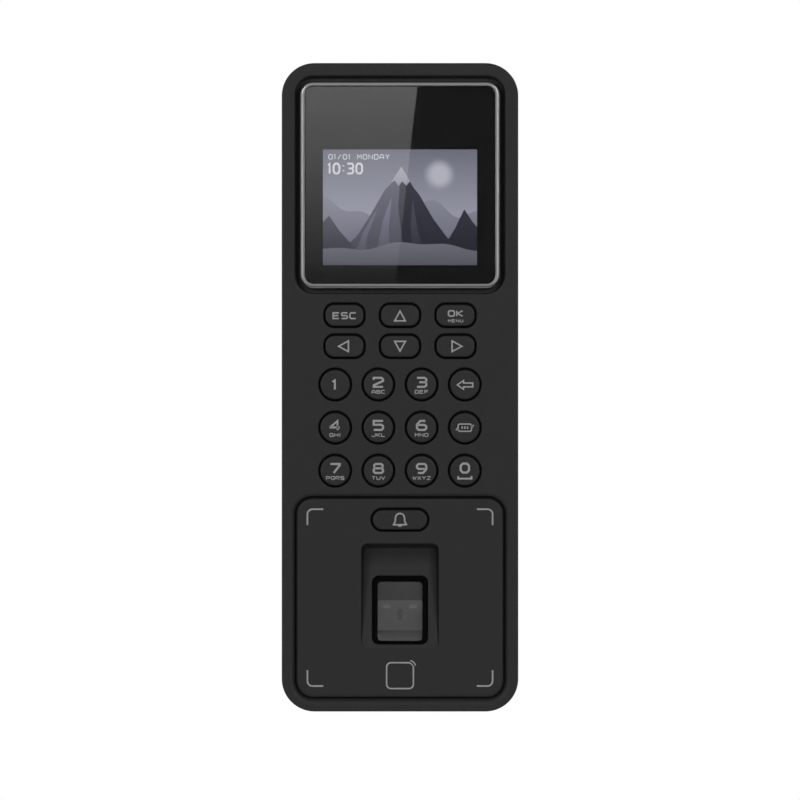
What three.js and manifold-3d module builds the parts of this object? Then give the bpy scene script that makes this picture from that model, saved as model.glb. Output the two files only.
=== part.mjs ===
// Wall-mounted fingerprint and card terminal: keypad, colour display and optical finger sensor.
// Millimetres, +Z up, the front faces -Y. The origin is the middle of the wall plate's back face,
// so the wall is the plane y = 0 and a depth "u" below is the distance from the wall, y = -u.
import * as THREE from "three";
import { mergeVertices } from "three/addons/utils/BufferGeometryUtils.js";
import Module from "manifold-3d";

const wasm = await Module();
wasm.setup();

// ---------- driving dimensions ----------
const WIDTH = 75;
const HEIGHT = 205.6;
const CORNER = 10.4;
const FRONT = 36; // u of the front face
const SPLIT = 17; // u of the joint between rear cover and front housing
const WALL = 2.2;
const FACE = 2.5;
const CHAMFER = 0.6;
const CASE_SEGMENTS = 8; // per quarter turn of a large corner
const SMALL_SEGMENTS = 4; // per quarter turn of a small corner

const SCREEN = { z: 64.2, w: 63.5, h: 65.8, r: 4.3, rim: 1.5, gap: 1.3, seat: 33.2 };
const LCD = { z: 57.1, w: 48.9, h: 36.7, moduleW: 60.3, moduleH: 42.7 };

const KEY = { proud: 0.6, gap: 0.35, shoulder: 0.8, flange: 0.85, back: 31.9 };
const ROUND_KEY = { d: 11.1, pitchX: 13.7, pitchZ: 13.65, topZ: 0.85 };
const PILL_KEY = { w: 13.8, h: 8.45, r: 3.7, pitchX: 17.6, rows: [22.8, 13] };
const BELL_KEY = { w: 19, h: 7.9, r: 3.95, z: -42 };
const ROUND_SEGMENTS = 20;

const PANEL = { z: -66.63, w: 66, h: 63.35, r: 5.3, thick: 2.5, gap: 0.35, edge: 0.7 };
// The hollow shoulder that leads in to the panel: how far it reaches from the panel, and its depth.
const SHOULDER = { side: 2, top: 1.3, bottom: 2.4, depth: 1.8 };
const SCOOP = { w: 24.6, top: -49.5, bottom: -82.6, depth: 7, lean: 2.2, wall: 1.6, r: 2 };
const FOOT = { from: -58.3, r: 13 }; // the scoop's floor curves up above this z
const SENSOR = { z: -70.6, openW: 18, openH: 22.2, glassW: 14.4, glassH: 18.9 };

const BACK = { inset: 0.7, rim: 0.5, wallFrom: 3, wallTo: 5.2 }; // rear cover depths, u
const PLATE = { w: 53, top: 88, bottom: -91, thick: 1.5, r: 6, slack: 1 };
const WIRING = { x: 25, from: 4, to: 48 }; // rear wiring window, half width and z range
const CABLE_WINDOW = { x: 22.5, from: 8, to: 44 }; // its smaller match in the wall plate
const BOARD = { x: 27, from: -96, to: 94, back: 11, front: 12.6 };
const KEY_BOARD = { back: 27, front: 28.2 };
const POST = { x: 31.6, z: 89, r: 3.1 };
const LOCK_U = 7; // depth of the locking screw's axis
const USB = { u: 14.1, w: 8, h: 2.6 };
const TAMPER = { x: 19, z: -24 };

// ---------- materials ----------
const material = (color, roughness, metalness = 0, extra = {}) =>
  new THREE.MeshStandardMaterial({ color, roughness, metalness, ...extra });
const MATERIALS = {
  caseBlack: material("#2d2d2f", 0.55),
  panelBlack: material("#2c2c2e", 0.5),
  keyBlack: material("#303032", 0.5),
  trim: material("#b4b4b8", 0.3, 1),
  lens: material("#101012", 0.05, 0, { transparent: true, opacity: 0.4 }),
  lcd: material("#8a8b9c", 0.4),
  prism: material("#6a6a6a", 0.05, 0, { transparent: true, opacity: 0.5 }),
  rubber: material("#141414", 0.85),
  silicone: material("#3a3b3d", 0.7),
  board: material("#1d4a2c", 0.6),
  plastic: material("#1a1a1b", 0.6),
  diffuser: material("#8c8c8a", 0.6),
  steel: material("#9da0a3", 0.35, 1),
  flex: material("#a3672c", 0.5),
  connector: material("#d9d6c8", 0.6),
};

// ---------- outlines, drawn in X and Z ----------
function arc(cx, cz, r, from, to, n) {
  return Array.from({ length: n + 1 }, (_, i) => {
    const a = from + ((to - from) * i) / n;
    return new THREE.Vector2(cx + r * Math.cos(a), cz + r * Math.sin(a));
  });
}

// A rounded rectangle round the centre (cx, cz), as a closed run of points.
function roundRect(w, h, r, cx = 0, cz = 0, n = SMALL_SEGMENTS) {
  const quarter = Math.PI / 2;
  const corners = [[1, 1], [-1, 1], [-1, -1], [1, -1]];
  return corners.flatMap(([sx, sz], i) =>
    arc(cx + sx * (w / 2 - r), cz + sz * (h / 2 - r), r, i * quarter, (i + 1) * quarter, n),
  );
}

const box2 = (x0, x1, z0, z1) => [
  new THREE.Vector2(x1, z1), new THREE.Vector2(x0, z1),
  new THREE.Vector2(x0, z0), new THREE.Vector2(x1, z0),
];
const circle = (r, cx = 0, cz = 0, n = ROUND_SEGMENTS) =>
  arc(cx, cz, r, 0, 2 * Math.PI, n).slice(0, -1);

const distinct = (points) =>
  points.filter((p, i) => p.distanceTo(points[(i + 1) % points.length]) > 1e-4);

function shapeOf(points, holes = []) {
  const shape = new THREE.Shape(distinct(points));
  shape.holes = holes.map((h) => new THREE.Path(distinct(h)));
  return shape;
}

// ---------- solids ----------
// A solid through several convex outlines, given as [points, u] from the back to the front.
function loft(rings) {
  const n = rings[0][0].length;
  const position = rings.flatMap(([points, u]) => points.flatMap((p) => [p.x, -u, p.y]));
  const index = [];
  for (let k = 0; k + 1 < rings.length; k++) {
    for (let i = 0; i < n; i++) {
      const a = k * n + i;
      const b = k * n + ((i + 1) % n);
      index.push(a, b, b + n, a, b + n, a + n);
    }
  }
  const last = (rings.length - 1) * n;
  for (let i = 1; i + 1 < n; i++) index.push(0, i + 1, i, last, last + i, last + i + 1);
  return new THREE.BufferGeometry()
    .setAttribute("position", new THREE.BufferAttribute(new Float32Array(position), 3))
    .setIndex(index);
}

// A flat piece with the given outline between the depths u0 and u1.
function slab(points, u0, u1, holes = []) {
  const g = new THREE.ExtrudeGeometry(shapeOf(points, holes), { depth: u1 - u0, bevelEnabled: false });
  return g.rotateX(Math.PI / 2).translate(0, -u0, 0);
}

// A slab whose edge is chamfered by c at both faces.
function chamfered(points, u0, u1, c) {
  const g = new THREE.ExtrudeGeometry(shapeOf(points), {
    depth: u1 - u0 - 2 * c, bevelThickness: c, bevelSize: c, bevelOffset: -c, bevelSegments: 1,
  });
  return g.rotateX(Math.PI / 2).translate(0, -u0 - c, 0);
}

// A piece with a constant section in Z and u, running along X from x0 to x1.
function prismX(sectionZU, x0, x1) {
  const section = shapeOf(sectionZU.map(([z, u]) => new THREE.Vector2(z, u)));
  const g = new THREE.ExtrudeGeometry(section, { depth: x1 - x0, bevelEnabled: false });
  const basis = new THREE.Matrix4().makeBasis(
    new THREE.Vector3(0, 0, 1), new THREE.Vector3(0, -1, 0), new THREE.Vector3(1, 0, 0),
  );
  return g.applyMatrix4(basis).translate(x0, 0, 0);
}

// A turned piece on the u axis; its profile is a run of [radius, u] that starts and ends on the axis.
function turned(profile, x = 0, z = 0, n = ROUND_SEGMENTS) {
  const g = new THREE.LatheGeometry(profile.map(([r, u]) => new THREE.Vector2(r, u)), n);
  return g.rotateX(Math.PI).translate(x, 0, z);
}

const rod = (r, u0, u1, x = 0, z = 0, n = 16) => turned([[0, u0], [r, u0], [r, u1], [0, u1]], x, z, n);

// A turned piece on a vertical axis; its profile is a run of [radius, z].
const turnedZ = (profile, x, u, n = 16) =>
  new THREE.LatheGeometry(profile.map(([r, z]) => new THREE.Vector2(r, z)), n)
    .rotateX(Math.PI / 2)
    .translate(x, -u, 0);

const block = (x0, x1, u0, u1, z0, z1) => slab(box2(x0, x1, z0, z1), u0, u1);

function solid(geometry) {
  if (!geometry.isBufferGeometry) return geometry;
  const g = geometry.clone();
  g.deleteAttribute("normal");
  g.deleteAttribute("uv");
  const merged = mergeVertices(g, 1e-3);
  return new wasm.Manifold(new wasm.Mesh({
    numProp: 3,
    vertProperties: merged.attributes.position.array,
    triVerts: new Uint32Array(merged.index.array),
  }));
}

function geometryOf(manifold) {
  const m = manifold.getMesh();
  return new THREE.BufferGeometry()
    .setAttribute("position", new THREE.BufferAttribute(m.vertProperties, 3))
    .setIndex(new THREE.BufferAttribute(m.triVerts, 1));
}

// A flat piece with several openings through it.
const pierced = (points, u0, u1, openings) =>
  cut(solid(slab(points, u0, u1)), ...openings.map((o) => slab(o, u0 - 1, u1 + 1)));

const join = (...pieces) => pieces.map(solid).reduce((a, b) => a.add(b));
const cut = (body, ...tools) => tools.map(solid).reduce((a, b) => a.subtract(b), body);

function part(name, shape, look) {
  const geometry = shape.isBufferGeometry ? shape : geometryOf(shape);
  const mesh = new THREE.Mesh(geometry, MATERIALS[look]);
  mesh.name = name;
  return mesh;
}

// ---------- keys ----------
const KEYPAD_NAMES = [
  ["escape_key", "up_key", "enter_key"],
  ["left_key", "down_key", "right_key"],
];
const DIGIT_NAMES = [
  ["digit_1_key", "digit_2_key", "digit_3_key", "backspace_key"],
  ["digit_4_key", "digit_5_key", "digit_6_key", "input_mode_key"],
  ["digit_7_key", "digit_8_key", "digit_9_key", "digit_0_key"],
];
const roundKeys = DIGIT_NAMES.flatMap((row, i) => row.map((name, j) => ({
  name,
  x: (j - 1.5) * ROUND_KEY.pitchX,
  z: ROUND_KEY.topZ - i * ROUND_KEY.pitchZ,
})));
const pillKeys = KEYPAD_NAMES.flatMap((row, i) => row.map((name, j) => ({
  name, x: (j - 1) * PILL_KEY.pitchX, z: PILL_KEY.rows[i], ...PILL_KEY,
})));
const bellKey = { name: "doorbell_key", x: 0, ...BELL_KEY };
const allKeys = [...pillKeys, ...roundKeys, bellKey];

const KEY_TOP = FRONT + KEY.proud;
const FLANGE_FRONT = FRONT - FACE - 0.2;
const FLANGE_BACK = FLANGE_FRONT - 0.95;

function roundKey({ name, x, z }) {
  const r = ROUND_KEY.d / 2 - KEY.gap;
  return part(name, turned([
    [0, KEY.back], [r - 1.2, KEY.back], [r - 1.2, FLANGE_BACK], [r + KEY.flange, FLANGE_BACK],
    [r + KEY.flange, FLANGE_FRONT], [r, FLANGE_FRONT], [r, KEY_TOP - KEY.shoulder],
    [r - KEY.shoulder, KEY_TOP], [0, KEY_TOP],
  ], x, z), "keyBlack");
}

// A long key: foot, retaining flange, body and a shoulder that steps in to the top face.
function longKey({ name, x, z, w, h, r }) {
  const layer = (grow, u0, u1) =>
    slab(roundRect(w - 2 * KEY.gap + 2 * grow, h - 2 * KEY.gap + 2 * grow, r - KEY.gap + grow, x, z), u0, u1);
  return part(name, join(
    layer(-1.2, KEY.back, FLANGE_BACK),
    layer(0.6, FLANGE_BACK, FLANGE_FRONT),
    layer(0, FLANGE_FRONT, KEY_TOP - KEY.shoulder / 2),
    layer(-KEY.shoulder / 2, KEY_TOP - KEY.shoulder / 2, KEY_TOP),
  ), "keyBlack");
}

const keyHole = ({ x, z, w, h, r }) => (w ? roundRect(w, h, r, x, z) : circle(ROUND_KEY.d / 2, x, z));

// ---------- finger scoop and the slanted frame of the sensor ----------
const SLOPE = Math.atan2(SCOOP.depth, SCOOP.top - SCOOP.bottom);
const floorAt = (z) => FRONT - Math.tan(SLOPE) * (z - SCOOP.bottom);

const FOOT_Z = FOOT.from + FOOT.r * Math.sin(SLOPE);
const FOOT_U = floorAt(FOOT.from) + FOOT.r * Math.cos(SLOPE);

// The hollow's section: a leaning top wall, a curved foot and the slanting floor, grown by t.
function scoopSection(t) {
  const openTo = FRONT + 2;
  const down = -Math.PI / 2;
  const r = FOOT.r + t;
  const turn = Math.asin((SCOOP.top - SCOOP.lean + t - FOOT_Z) / r);
  const curve = arc(FOOT_Z, FOOT_U, r, down + turn, down - SLOPE, 5).map((p) => [p.x, p.y]);
  const end = SCOOP.bottom - t / Math.sin(SLOPE);
  const endU = floorAt(end) - t / Math.cos(SLOPE);
  return [[SCOOP.top + t, openTo], ...curve, [end, endU], [end, openTo]];
}

const FINGER_HOLLOW = solid(prismX(scoopSection(0), -SCOOP.w / 2, SCOOP.w / 2)).intersect(
  solid(slab(roundRect(SCOOP.w, 40, SCOOP.r, 0, SCOOP.top - 20), 20, FRONT + 3)),
);

// Places a piece built round the sensor's centre, with u = 0 on the scoop's floor, into the case.
const SENSOR_FRAME = new THREE.Matrix4()
  .makeTranslation(0, -floorAt(SENSOR.z), SENSOR.z)
  .multiply(new THREE.Matrix4().makeRotationX(-SLOPE));

// ---------- case ----------
const caseOutline = (grow = 0) =>
  roundRect(WIDTH + 2 * grow, HEIGHT + 2 * grow, CORNER + grow, 0, 0, CASE_SEGMENTS);
const POSTS = [[-1, 1], [1, 1], [-1, -1], [1, -1]].map(([sx, sz]) => [sx * POST.x, sz * POST.z]);

function frontHousing() {
  const screenPocket = roundRect(
    SCREEN.w + 2 * SCREEN.gap, SCREEN.h + 2 * SCREEN.gap, SCREEN.r + SCREEN.gap, 0, SCREEN.z,
  );
  const panelPocket = roundRect(
    PANEL.w + 2 * PANEL.gap, PANEL.h + 2 * PANEL.gap, PANEL.r + PANEL.gap, 0, PANEL.z,
  );
  const shoulder = (share) => {
    const reach = (to) => PANEL.gap + (to - PANEL.gap) * share;
    const [side, top, bottom] = [SHOULDER.side, SHOULDER.top, SHOULDER.bottom].map(reach);
    return roundRect(
      PANEL.w + 2 * side, PANEL.h + top + bottom, PANEL.r + side, 0, PANEL.z + (top - bottom) / 2,
    );
  };
  const leadIn = loft([
    [shoulder(0), FRONT - SHOULDER.depth], [shoulder(0.4), FRONT - SHOULDER.depth * 0.35],
    [shoulder(1), FRONT], [shoulder(1), FRONT + 1],
  ]);
  const faceKeys = allKeys.filter((k) => k !== bellKey).map(keyHole);
  const faceBack = FRONT - FACE;
  const openings = [screenPocket, panelPocket, ...faceKeys].map((o) => slab(o, faceBack - 1, FRONT + 1));
  const tray = cut(
    solid(chamfered(caseOutline(), SPLIT - 2, FRONT, CHAMFER)),
    slab(caseOutline(1), SPLIT - 3, SPLIT + 0.6),
    slab(caseOutline(-WALL), SPLIT - 3, faceBack),
    ...openings, leadIn,
  );
  const screenSeat = slab(
    roundRect(WIDTH - 2 * WALL, SCREEN.h + 5, 6, 0, SCREEN.z), SCREEN.seat - 2, SCREEN.seat,
    [roundRect(LCD.moduleW + 0.7, LCD.moduleH + 0.7, 1, 0, LCD.z)],
  );
  const screenWall = slab(
    roundRect(WIDTH - 2 * WALL, SCREEN.h + 5, 6, 0, SCREEN.z), SCREEN.seat, faceBack, [screenPocket],
  );
  const panelSeatTop = FRONT - PANEL.thick - 0.1;
  const panelFrame = roundRect(WIDTH - 2 * WALL, PANEL.h + 3.6, 6, 0, PANEL.z);
  const panelSeat = slab(
    panelFrame, panelSeatTop - 1.7, panelSeatTop,
    [roundRect(PANEL.w - 5, PANEL.h - 4, 3, 0, PANEL.z)],
  );
  const panelWall = slab(panelFrame, panelSeatTop, faceBack, [panelPocket]);
  const posts = POSTS.map(([x, z]) => rod(POST.r, SPLIT + 1.2, faceBack - 1, x, z));
  const shell = join(tray, screenSeat, screenWall, panelSeat, panelWall, ...posts);
  const pilots = POSTS.map(([x, z]) => rod(1.7, SPLIT, SPLIT + 11, x, z, 12));
  return part("front_housing", cut(shell, ...pilots), "caseBlack");
}

function rearCover() {
  const outer = caseOutline(-BACK.inset);
  const cavity = caseOutline(-BACK.inset - WALL);
  const plateRecess = roundRect(
    PLATE.w + 2 * PLATE.slack, PLATE.top - PLATE.bottom + 9, PLATE.r + PLATE.slack,
    0, (PLATE.top + PLATE.bottom) / 2,
  );
  const wiringWindow = (grow) => roundRect(
    2 * (WIRING.x + grow), WIRING.to - WIRING.from + 2 * grow, 2 + grow, 0, (WIRING.from + WIRING.to) / 2,
  );
  const speakerSlots = [-8, -4, 0, 4, 8].map((x) => roundRect(1.8, 14, 0.85, x, -62));
  const hookSlots = [-18, 18].map((x) => box2(x - 5.6, x + 5.6, 70.2, 75.8));
  const holes = [
    wiringWindow(0), ...speakerSlots, ...hookSlots,
    box2(-8, 8, -92.4, -88.6),
    circle(2.2, TAMPER.x, TAMPER.z, 12),
  ];
  const rim = slab(outer, BACK.rim, BACK.wallFrom, [plateRecess]);
  const back = pierced(outer, BACK.wallFrom, BACK.wallTo, holes);
  const sides = slab(outer, BACK.wallTo, SPLIT, [cavity]);
  const duct = slab(wiringWindow(1.5), BACK.wallTo, BOARD.back - 0.4, [wiringWindow(0)]);
  const tubes = POSTS.map(([x, z]) => rod(POST.r, BACK.wallTo, SPLIT + 0.9, x, z));
  const lockBoss = turnedZ([[0, -100.4], [3.5, -100.4], [3.5, -93.6], [0, -93.6]], 0, LOCK_U);
  const shell = join(rim, back, sides, duct, lockBoss, ...tubes);
  const bottom = -HEIGHT / 2 + BACK.inset;
  const screwBores = POSTS.flatMap(([x, z]) => [
    rod(3, 0, 9.4, x, z), rod(1.8, 9, SPLIT + 2, x, z, 12),
  ]);
  const lockBore = turnedZ([
    [0, bottom - 1], [3.2, bottom - 1], [3.2, -99.6], [1.8, -99.6], [1.8, -93], [0, -93],
  ], 0, LOCK_U);
  const usbRecess = block(-7.4, 7.4, USB.u - 2.6, USB.u + 2.6, bottom - 1, bottom + 1.15);
  const usbHole = block(-USB.w / 2 - 0.3, USB.w / 2 + 0.3, USB.u - 1.6, USB.u + 1.6, bottom - 1, bottom + 4);
  return part("rear_cover", cut(shell, ...screwBores, lockBore, usbRecess, usbHole), "caseBlack");
}

const caseSeal = () =>
  part("case_seal", slab(caseOutline(-1.5), SPLIT + 0.05, SPLIT + 0.55, [caseOutline(-2.6)]), "rubber");

function caseScrew([x, z], i) {
  return part(`case_screw_${i + 1}`, turned([
    [0, 7.2], [1, 7.2], [1, 6.4], [2.1, 6.4], [2.7, 7.2], [2.7, 8.8], [1.5, 8.95],
    [1.5, SPLIT + 8.6], [0, SPLIT + 9.6],
  ], x, z, 12), "steel");
}

// ---------- wall plate ----------
function wallPlate() {
  const { w, top, bottom, thick, r } = PLATE;
  const slots = [
    [-18, 62], [18, 62], [-18, -52], [18, -52],
  ].map(([x, z]) => roundRect(4.5, 9, 2.2, x, z));
  const windows = [
    box2(-CABLE_WINDOW.x, CABLE_WINDOW.x, CABLE_WINDOW.from, CABLE_WINDOW.to),
    roundRect(24, 18, 3, 0, -62),
    circle(2.4, TAMPER.x, TAMPER.z, 12),
  ];
  const outline = roundRect(w, top - bottom, r, 0, (top + bottom) / 2);
  const sheet = pierced(outline, 0, thick, [...slots, ...windows]);
  const hook = (x) => [
    block(x - 4.6, x + 4.6, thick, 7.1, 74, 75.5),
    block(x - 4.6, x + 4.6, 5.6, 7.1, 75.5, 79),
  ];
  const foot = block(-7, 7, thick, 10.2, bottom, bottom + thick);
  const lockHole = turnedZ([
    [0, bottom - 2], [1.7, bottom - 2], [1.7, bottom + 4], [0, bottom + 4],
  ], 0, LOCK_U);
  return part("wall_plate", cut(join(sheet, ...hook(-18), ...hook(18), foot), lockHole), "steel");
}

const lockScrew = () => part("lock_screw", turnedZ([
  [0, -100.6], [1.1, -100.6], [1.1, -101.5], [2.4, -101.5], [2.75, -101], [2.75, -99.75],
  [1.5, -99.75], [1.5, -88.2], [0, -87.6],
], 0, LOCK_U), "steel");

// ---------- display ----------
const screenTrim = () => {
  const { w, h, r, rim, z, seat } = SCREEN;
  const inside = roundRect(w - 2 * rim, h - 2 * rim, r - rim, 0, z);
  const ring = (grow, u0, u1) =>
    slab(roundRect(w + 2 * grow, h + 2 * grow, r + grow, 0, z), u0, u1, [inside]);
  return part("screen_trim", join(ring(0, seat + 0.05, FRONT), ring(-0.25, FRONT, FRONT + 0.25)), "trim");
};
const LENS_GAP = 0.1;
const lensOutline = (grow) => roundRect(
  SCREEN.w - 2 * SCREEN.rim - 2 * LENS_GAP + 2 * grow,
  SCREEN.h - 2 * SCREEN.rim - 2 * LENS_GAP + 2 * grow,
  SCREEN.r - SCREEN.rim - LENS_GAP + grow, 0, SCREEN.z,
);
const screenLens = () => part("screen_lens", slab(lensOutline(0), 33.9, 35.9), "lens");
const lensTape = () => part("lens_tape", slab(
  lensOutline(-0.3), SCREEN.seat + 0.05, 33.85, [roundRect(LCD.w + 1, LCD.h + 1, 0.5, 0, LCD.z, 2)],
), "rubber");
const lcdModule = () => part("lcd_module", slab(
  roundRect(LCD.moduleW, LCD.moduleH, 0.8, 0, LCD.z, 2), 30.6, 33.1,
), "lcd");
const lcdBracket = () => part("lcd_bracket", slab(
  roundRect(66, 50, 2, 0, LCD.z), 28.8, 30.5, [roundRect(46, 30, 2, 0, LCD.z)],
), "plastic");

// Flat cable from the display's lower edge, round the end of its bracket, to the main board.
function displayFlex() {
  const half = 0.15;
  const mid = 21;
  const r = 7.4;
  const bend = (grow) =>
    arc(35.6, mid, r + grow, Math.PI / 2, (3 * Math.PI) / 2, 8).map((p) => [p.x, p.y]);
  const section = [
    [40, mid + r + half], ...bend(half), [40, mid - r - half],
    [40, mid - r + half], ...bend(-half).reverse(), [40, mid + r - half],
  ];
  return part("display_flex", prismX(section, -9, 9), "flex");
}
const displaySocket = () =>
  part("display_socket", block(-10, 10, BOARD.front + 0.05, 13.35, 36.5, 41), "connector");

// ---------- keypad ----------
const keypadOutline = () => [
  [30.5, 28.5], [-30.5, 28.5], [-30.5, -33], [-12, -33], [-12, -47], [12, -47], [12, -33], [30.5, -33],
].map(([x, z]) => new THREE.Vector2(x, z));

function keyMat() {
  const sheet = slab(keypadOutline(), KEY_BOARD.front + 0.05, 29.65);
  const pads = allKeys.map(({ x, z, w }) =>
    (w ? slab(roundRect(w / 2, 4, 1.6, x, z, 2), 29.2, 30.7) : rod(2.6, 29.2, 30.7, x, z, 10)));
  return part("keypad_mat", join(sheet, ...pads), "silicone");
}
const keyBoard = () => part("key_board", slab(keypadOutline(), KEY_BOARD.back, KEY_BOARD.front), "board");

// ---------- card and finger reader ----------
function readerPanel() {
  const back = FRONT - PANEL.thick;
  const outline = (grow) => roundRect(PANEL.w + 2 * grow, PANEL.h + 2 * grow, PANEL.r + grow, 0, PANEL.z, 6);
  const bell = keyHole(bellKey);
  const plate = slab(outline(0), back, FRONT - PANEL.edge, [bell]);
  const skin = slab(outline(-PANEL.edge / 2), FRONT - PANEL.edge, FRONT, [bell]);
  const tub = solid(prismX(
    scoopSection(SCOOP.wall), -SCOOP.w / 2 - SCOOP.wall, SCOOP.w / 2 + SCOOP.wall,
  ));
  const opening = slab(roundRect(SENSOR.openW, SENSOR.openH, 2.6), -12, 12).applyMatrix4(SENSOR_FRAME);
  const behindFace = solid(block(-40, 40, 0, back + 0.4, -120, 0));
  const shell = join(plate, skin).add(tub.intersect(behindFace));
  return part("reader_panel", cut(shell.subtract(FINGER_HOLLOW), opening), "panelBlack");
}

const antennaBoard = () => part("antenna_board", slab(
  roundRect(55, 49, 2, 0, -71), 29.9, 31.1, [roundRect(31, 44.5, 2, 0, -70.75)],
), "board");

function fingerSensor() {
  const group = new THREE.Group();
  group.applyMatrix4(SENSOR_FRAME);
  const { glassW, glassH } = SENSOR;
  const seat = roundRect(glassW + 0.5, glassH + 0.4, 1.3);
  group.add(
    part("sensor_gasket", slab(roundRect(17.2, 21.4, 2.2), -3, -0.9, [seat]), "rubber"),
    part("sensor_prism", slab(roundRect(glassW, glassH, 1.2), -4.4, -0.25), "prism"),
    part("sensor_diffuser", slab(
      roundRect(15.6, 21, 1.5), -6.2, -4.9, [circle(2.2, 0, -0.4, 16)],
    ), "diffuser"),
    part("sensor_housing", join(
      slab(roundRect(20, 25, 2), -15.2, -13.8, [circle(3.5, 0, -0.4, 16)]),
      slab(roundRect(20, 25, 2), -13.8, -4.8, [roundRect(16.2, 21.6, 1.6)]),
      slab(roundRect(20, 25, 2), -4.8, -3.1, [roundRect(glassW + 0.6, glassH + 0.6, 1.4)]),
    ), "plastic"),
    part("sensor_camera", turned(
      [[0, -15.2], [3.2, -15.2], [3.2, -10.5], [2, -9.6], [2, -8], [0, -8]], 0, -0.4, 16,
    ), "plastic"),
    part("sensor_board", slab(roundRect(20, 25, 1), -16.5, -15.3), "board"),
  );
  return group;
}

// ---------- electronics ----------
const mainBoard = () => part("main_board", slab(
  roundRect(2 * BOARD.x, BOARD.to - BOARD.from, 2, 0, (BOARD.to + BOARD.from) / 2), BOARD.back, BOARD.front,
), "board");

function header(name, x0, x1, z0, z1, u0) {
  const n = Math.round((x1 - x0 - 2) / 3.8);
  const mouths = Array.from({ length: n }, (_, i) => {
    const x = x0 + 1 + ((i + 0.5) * (x1 - x0 - 2)) / n;
    return block(x - 1.3, x + 1.3, u0 - 1, u0 + 2.4, z0 + 1.4, z1 - 1.4);
  });
  return part(name, cut(solid(block(x0, x1, u0, BOARD.back - 0.05, z0, z1)), ...mouths), "connector");
}

const electronics = () => [
  mainBoard(),
  part("processor_shield", block(-15, 15, BOARD.front + 0.05, 15.8, 50, 76), "steel"),
  part("clock_cell_holder", cut(
    solid(slab(roundRect(23, 23, 3, -12, -2), BOARD.front + 0.05, 16)), rod(10.3, 13.2, 17, -12, -2, 20),
  ), "plastic"),
  part("clock_cell", rod(10, 13.3, 16.5, -12, -2, 20), "steel"),
  part("buzzer", turned(
    [[0, 12.65], [6, 12.65], [6, 18], [1.4, 18], [1.4, 17], [0, 17]], 14, -4, 16,
  ), "plastic"),
  header("wiring_header_upper", -22, 22, 38, 45, 4.6),
  header("wiring_header_lower", -22, 22, 7, 14, 4.6),
  header("network_header", 14, 23, 20, 32, 5.2),
  part("speaker", join(
    rod(14, 5.5, 7.4, 0, -62, 20), rod(10, 7.4, 10.3, 0, -62, 16),
  ), "plastic"),
  part("tamper_switch", cut(
    solid(block(TAMPER.x - 4, TAMPER.x + 4, 6.2, BOARD.back - 0.05, TAMPER.z - 4, TAMPER.z + 4)),
    turned([[0, 5], [1.75, 5], [1.75, 6.9], [2.3, 6.9], [2.3, 10], [0, 10]], TAMPER.x, TAMPER.z, 12),
  ), "plastic"),
  part("usb_socket", cut(
    solid(slab(roundRect(USB.w, 5, 0.5, 0, -98.4, 2), USB.u - USB.h / 2 - 0.1, USB.u + USB.h / 2)),
    block(-3.3, 3.3, USB.u - 0.8, USB.u + 0.7, -102, -96.5),
  ), "steel"),
];

// Plunger that the wall holds in; it springs out towards +Y when the terminal leaves the wall.
const tamperPlunger = () => part("tamper_plunger", turned([
  [0, 0.1], [1, 0.1], [1.5, 0.6], [1.5, 8.6], [2, 8.6], [2, 9.6], [0, 9.6],
], TAMPER.x, TAMPER.z, 12), "connector");

// Rubber flap over the USB socket; it swings down round its corner at x = -7.1.
const usbCover = () => {
  const bottom = -HEIGHT / 2 + BACK.inset;
  return part("usb_cover", block(-7.1, 7.1, USB.u - 2.4, USB.u + 2.4, bottom, bottom + 1), "rubber");
};

// ---------- assembly ----------
const terminal = new THREE.Group();
terminal.add(
  frontHousing(), rearCover(), caseSeal(), ...POSTS.map(caseScrew),
  wallPlate(), lockScrew(),
  screenTrim(), screenLens(), lensTape(), lcdModule(), lcdBracket(), displayFlex(), displaySocket(),
  ...pillKeys.map(longKey), ...roundKeys.map(roundKey), longKey(bellKey),
  keyMat(), keyBoard(),
  readerPanel(), antennaBoard(), fingerSensor(),
  ...electronics(), tamperPlunger(), usbCover(),
);

export default terminal;
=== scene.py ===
"""A tall black wall terminal with a display, a keypad and a finger reader, dressed around its CAD frame.

Lengths are millimetres until a mesh is made. A point is (x, z, u): x to the right, z up and u the
distance out from the wall, so the front faces -Y and y = -u.
"""
import math
from types import SimpleNamespace

import bmesh
import bpy
from mathutils import Matrix, Vector, geometry


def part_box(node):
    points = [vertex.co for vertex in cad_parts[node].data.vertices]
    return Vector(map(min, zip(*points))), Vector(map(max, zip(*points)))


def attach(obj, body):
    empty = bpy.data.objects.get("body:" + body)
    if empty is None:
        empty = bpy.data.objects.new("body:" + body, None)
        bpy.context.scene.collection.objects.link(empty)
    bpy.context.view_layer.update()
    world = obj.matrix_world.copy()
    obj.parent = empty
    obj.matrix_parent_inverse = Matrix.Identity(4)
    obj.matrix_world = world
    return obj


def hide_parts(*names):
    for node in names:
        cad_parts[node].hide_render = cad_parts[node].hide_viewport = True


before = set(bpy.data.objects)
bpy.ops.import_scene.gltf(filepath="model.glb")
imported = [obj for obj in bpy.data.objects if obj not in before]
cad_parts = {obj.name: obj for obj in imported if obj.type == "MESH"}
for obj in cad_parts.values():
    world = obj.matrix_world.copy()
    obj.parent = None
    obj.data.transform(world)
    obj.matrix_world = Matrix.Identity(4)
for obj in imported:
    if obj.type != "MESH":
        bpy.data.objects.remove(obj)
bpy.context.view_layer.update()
MM = 0.001
QUARTER = math.pi / 2


# ---------- outlines ----------
def extent(node):
    """A CAD node's box as named sizes, in millimetres."""
    low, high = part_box(node)
    x0, x1, z0, z1 = low.x / MM, high.x / MM, low.z / MM, high.z / MM
    return SimpleNamespace(
        x0=x0, x1=x1, z0=z0, z1=z1, back=-high.y / MM, front=-low.y / MM,
        w=x1 - x0, h=z1 - z0, x=(x0 + x1) / 2, z=(z0 + z1) / 2,
    )


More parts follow.
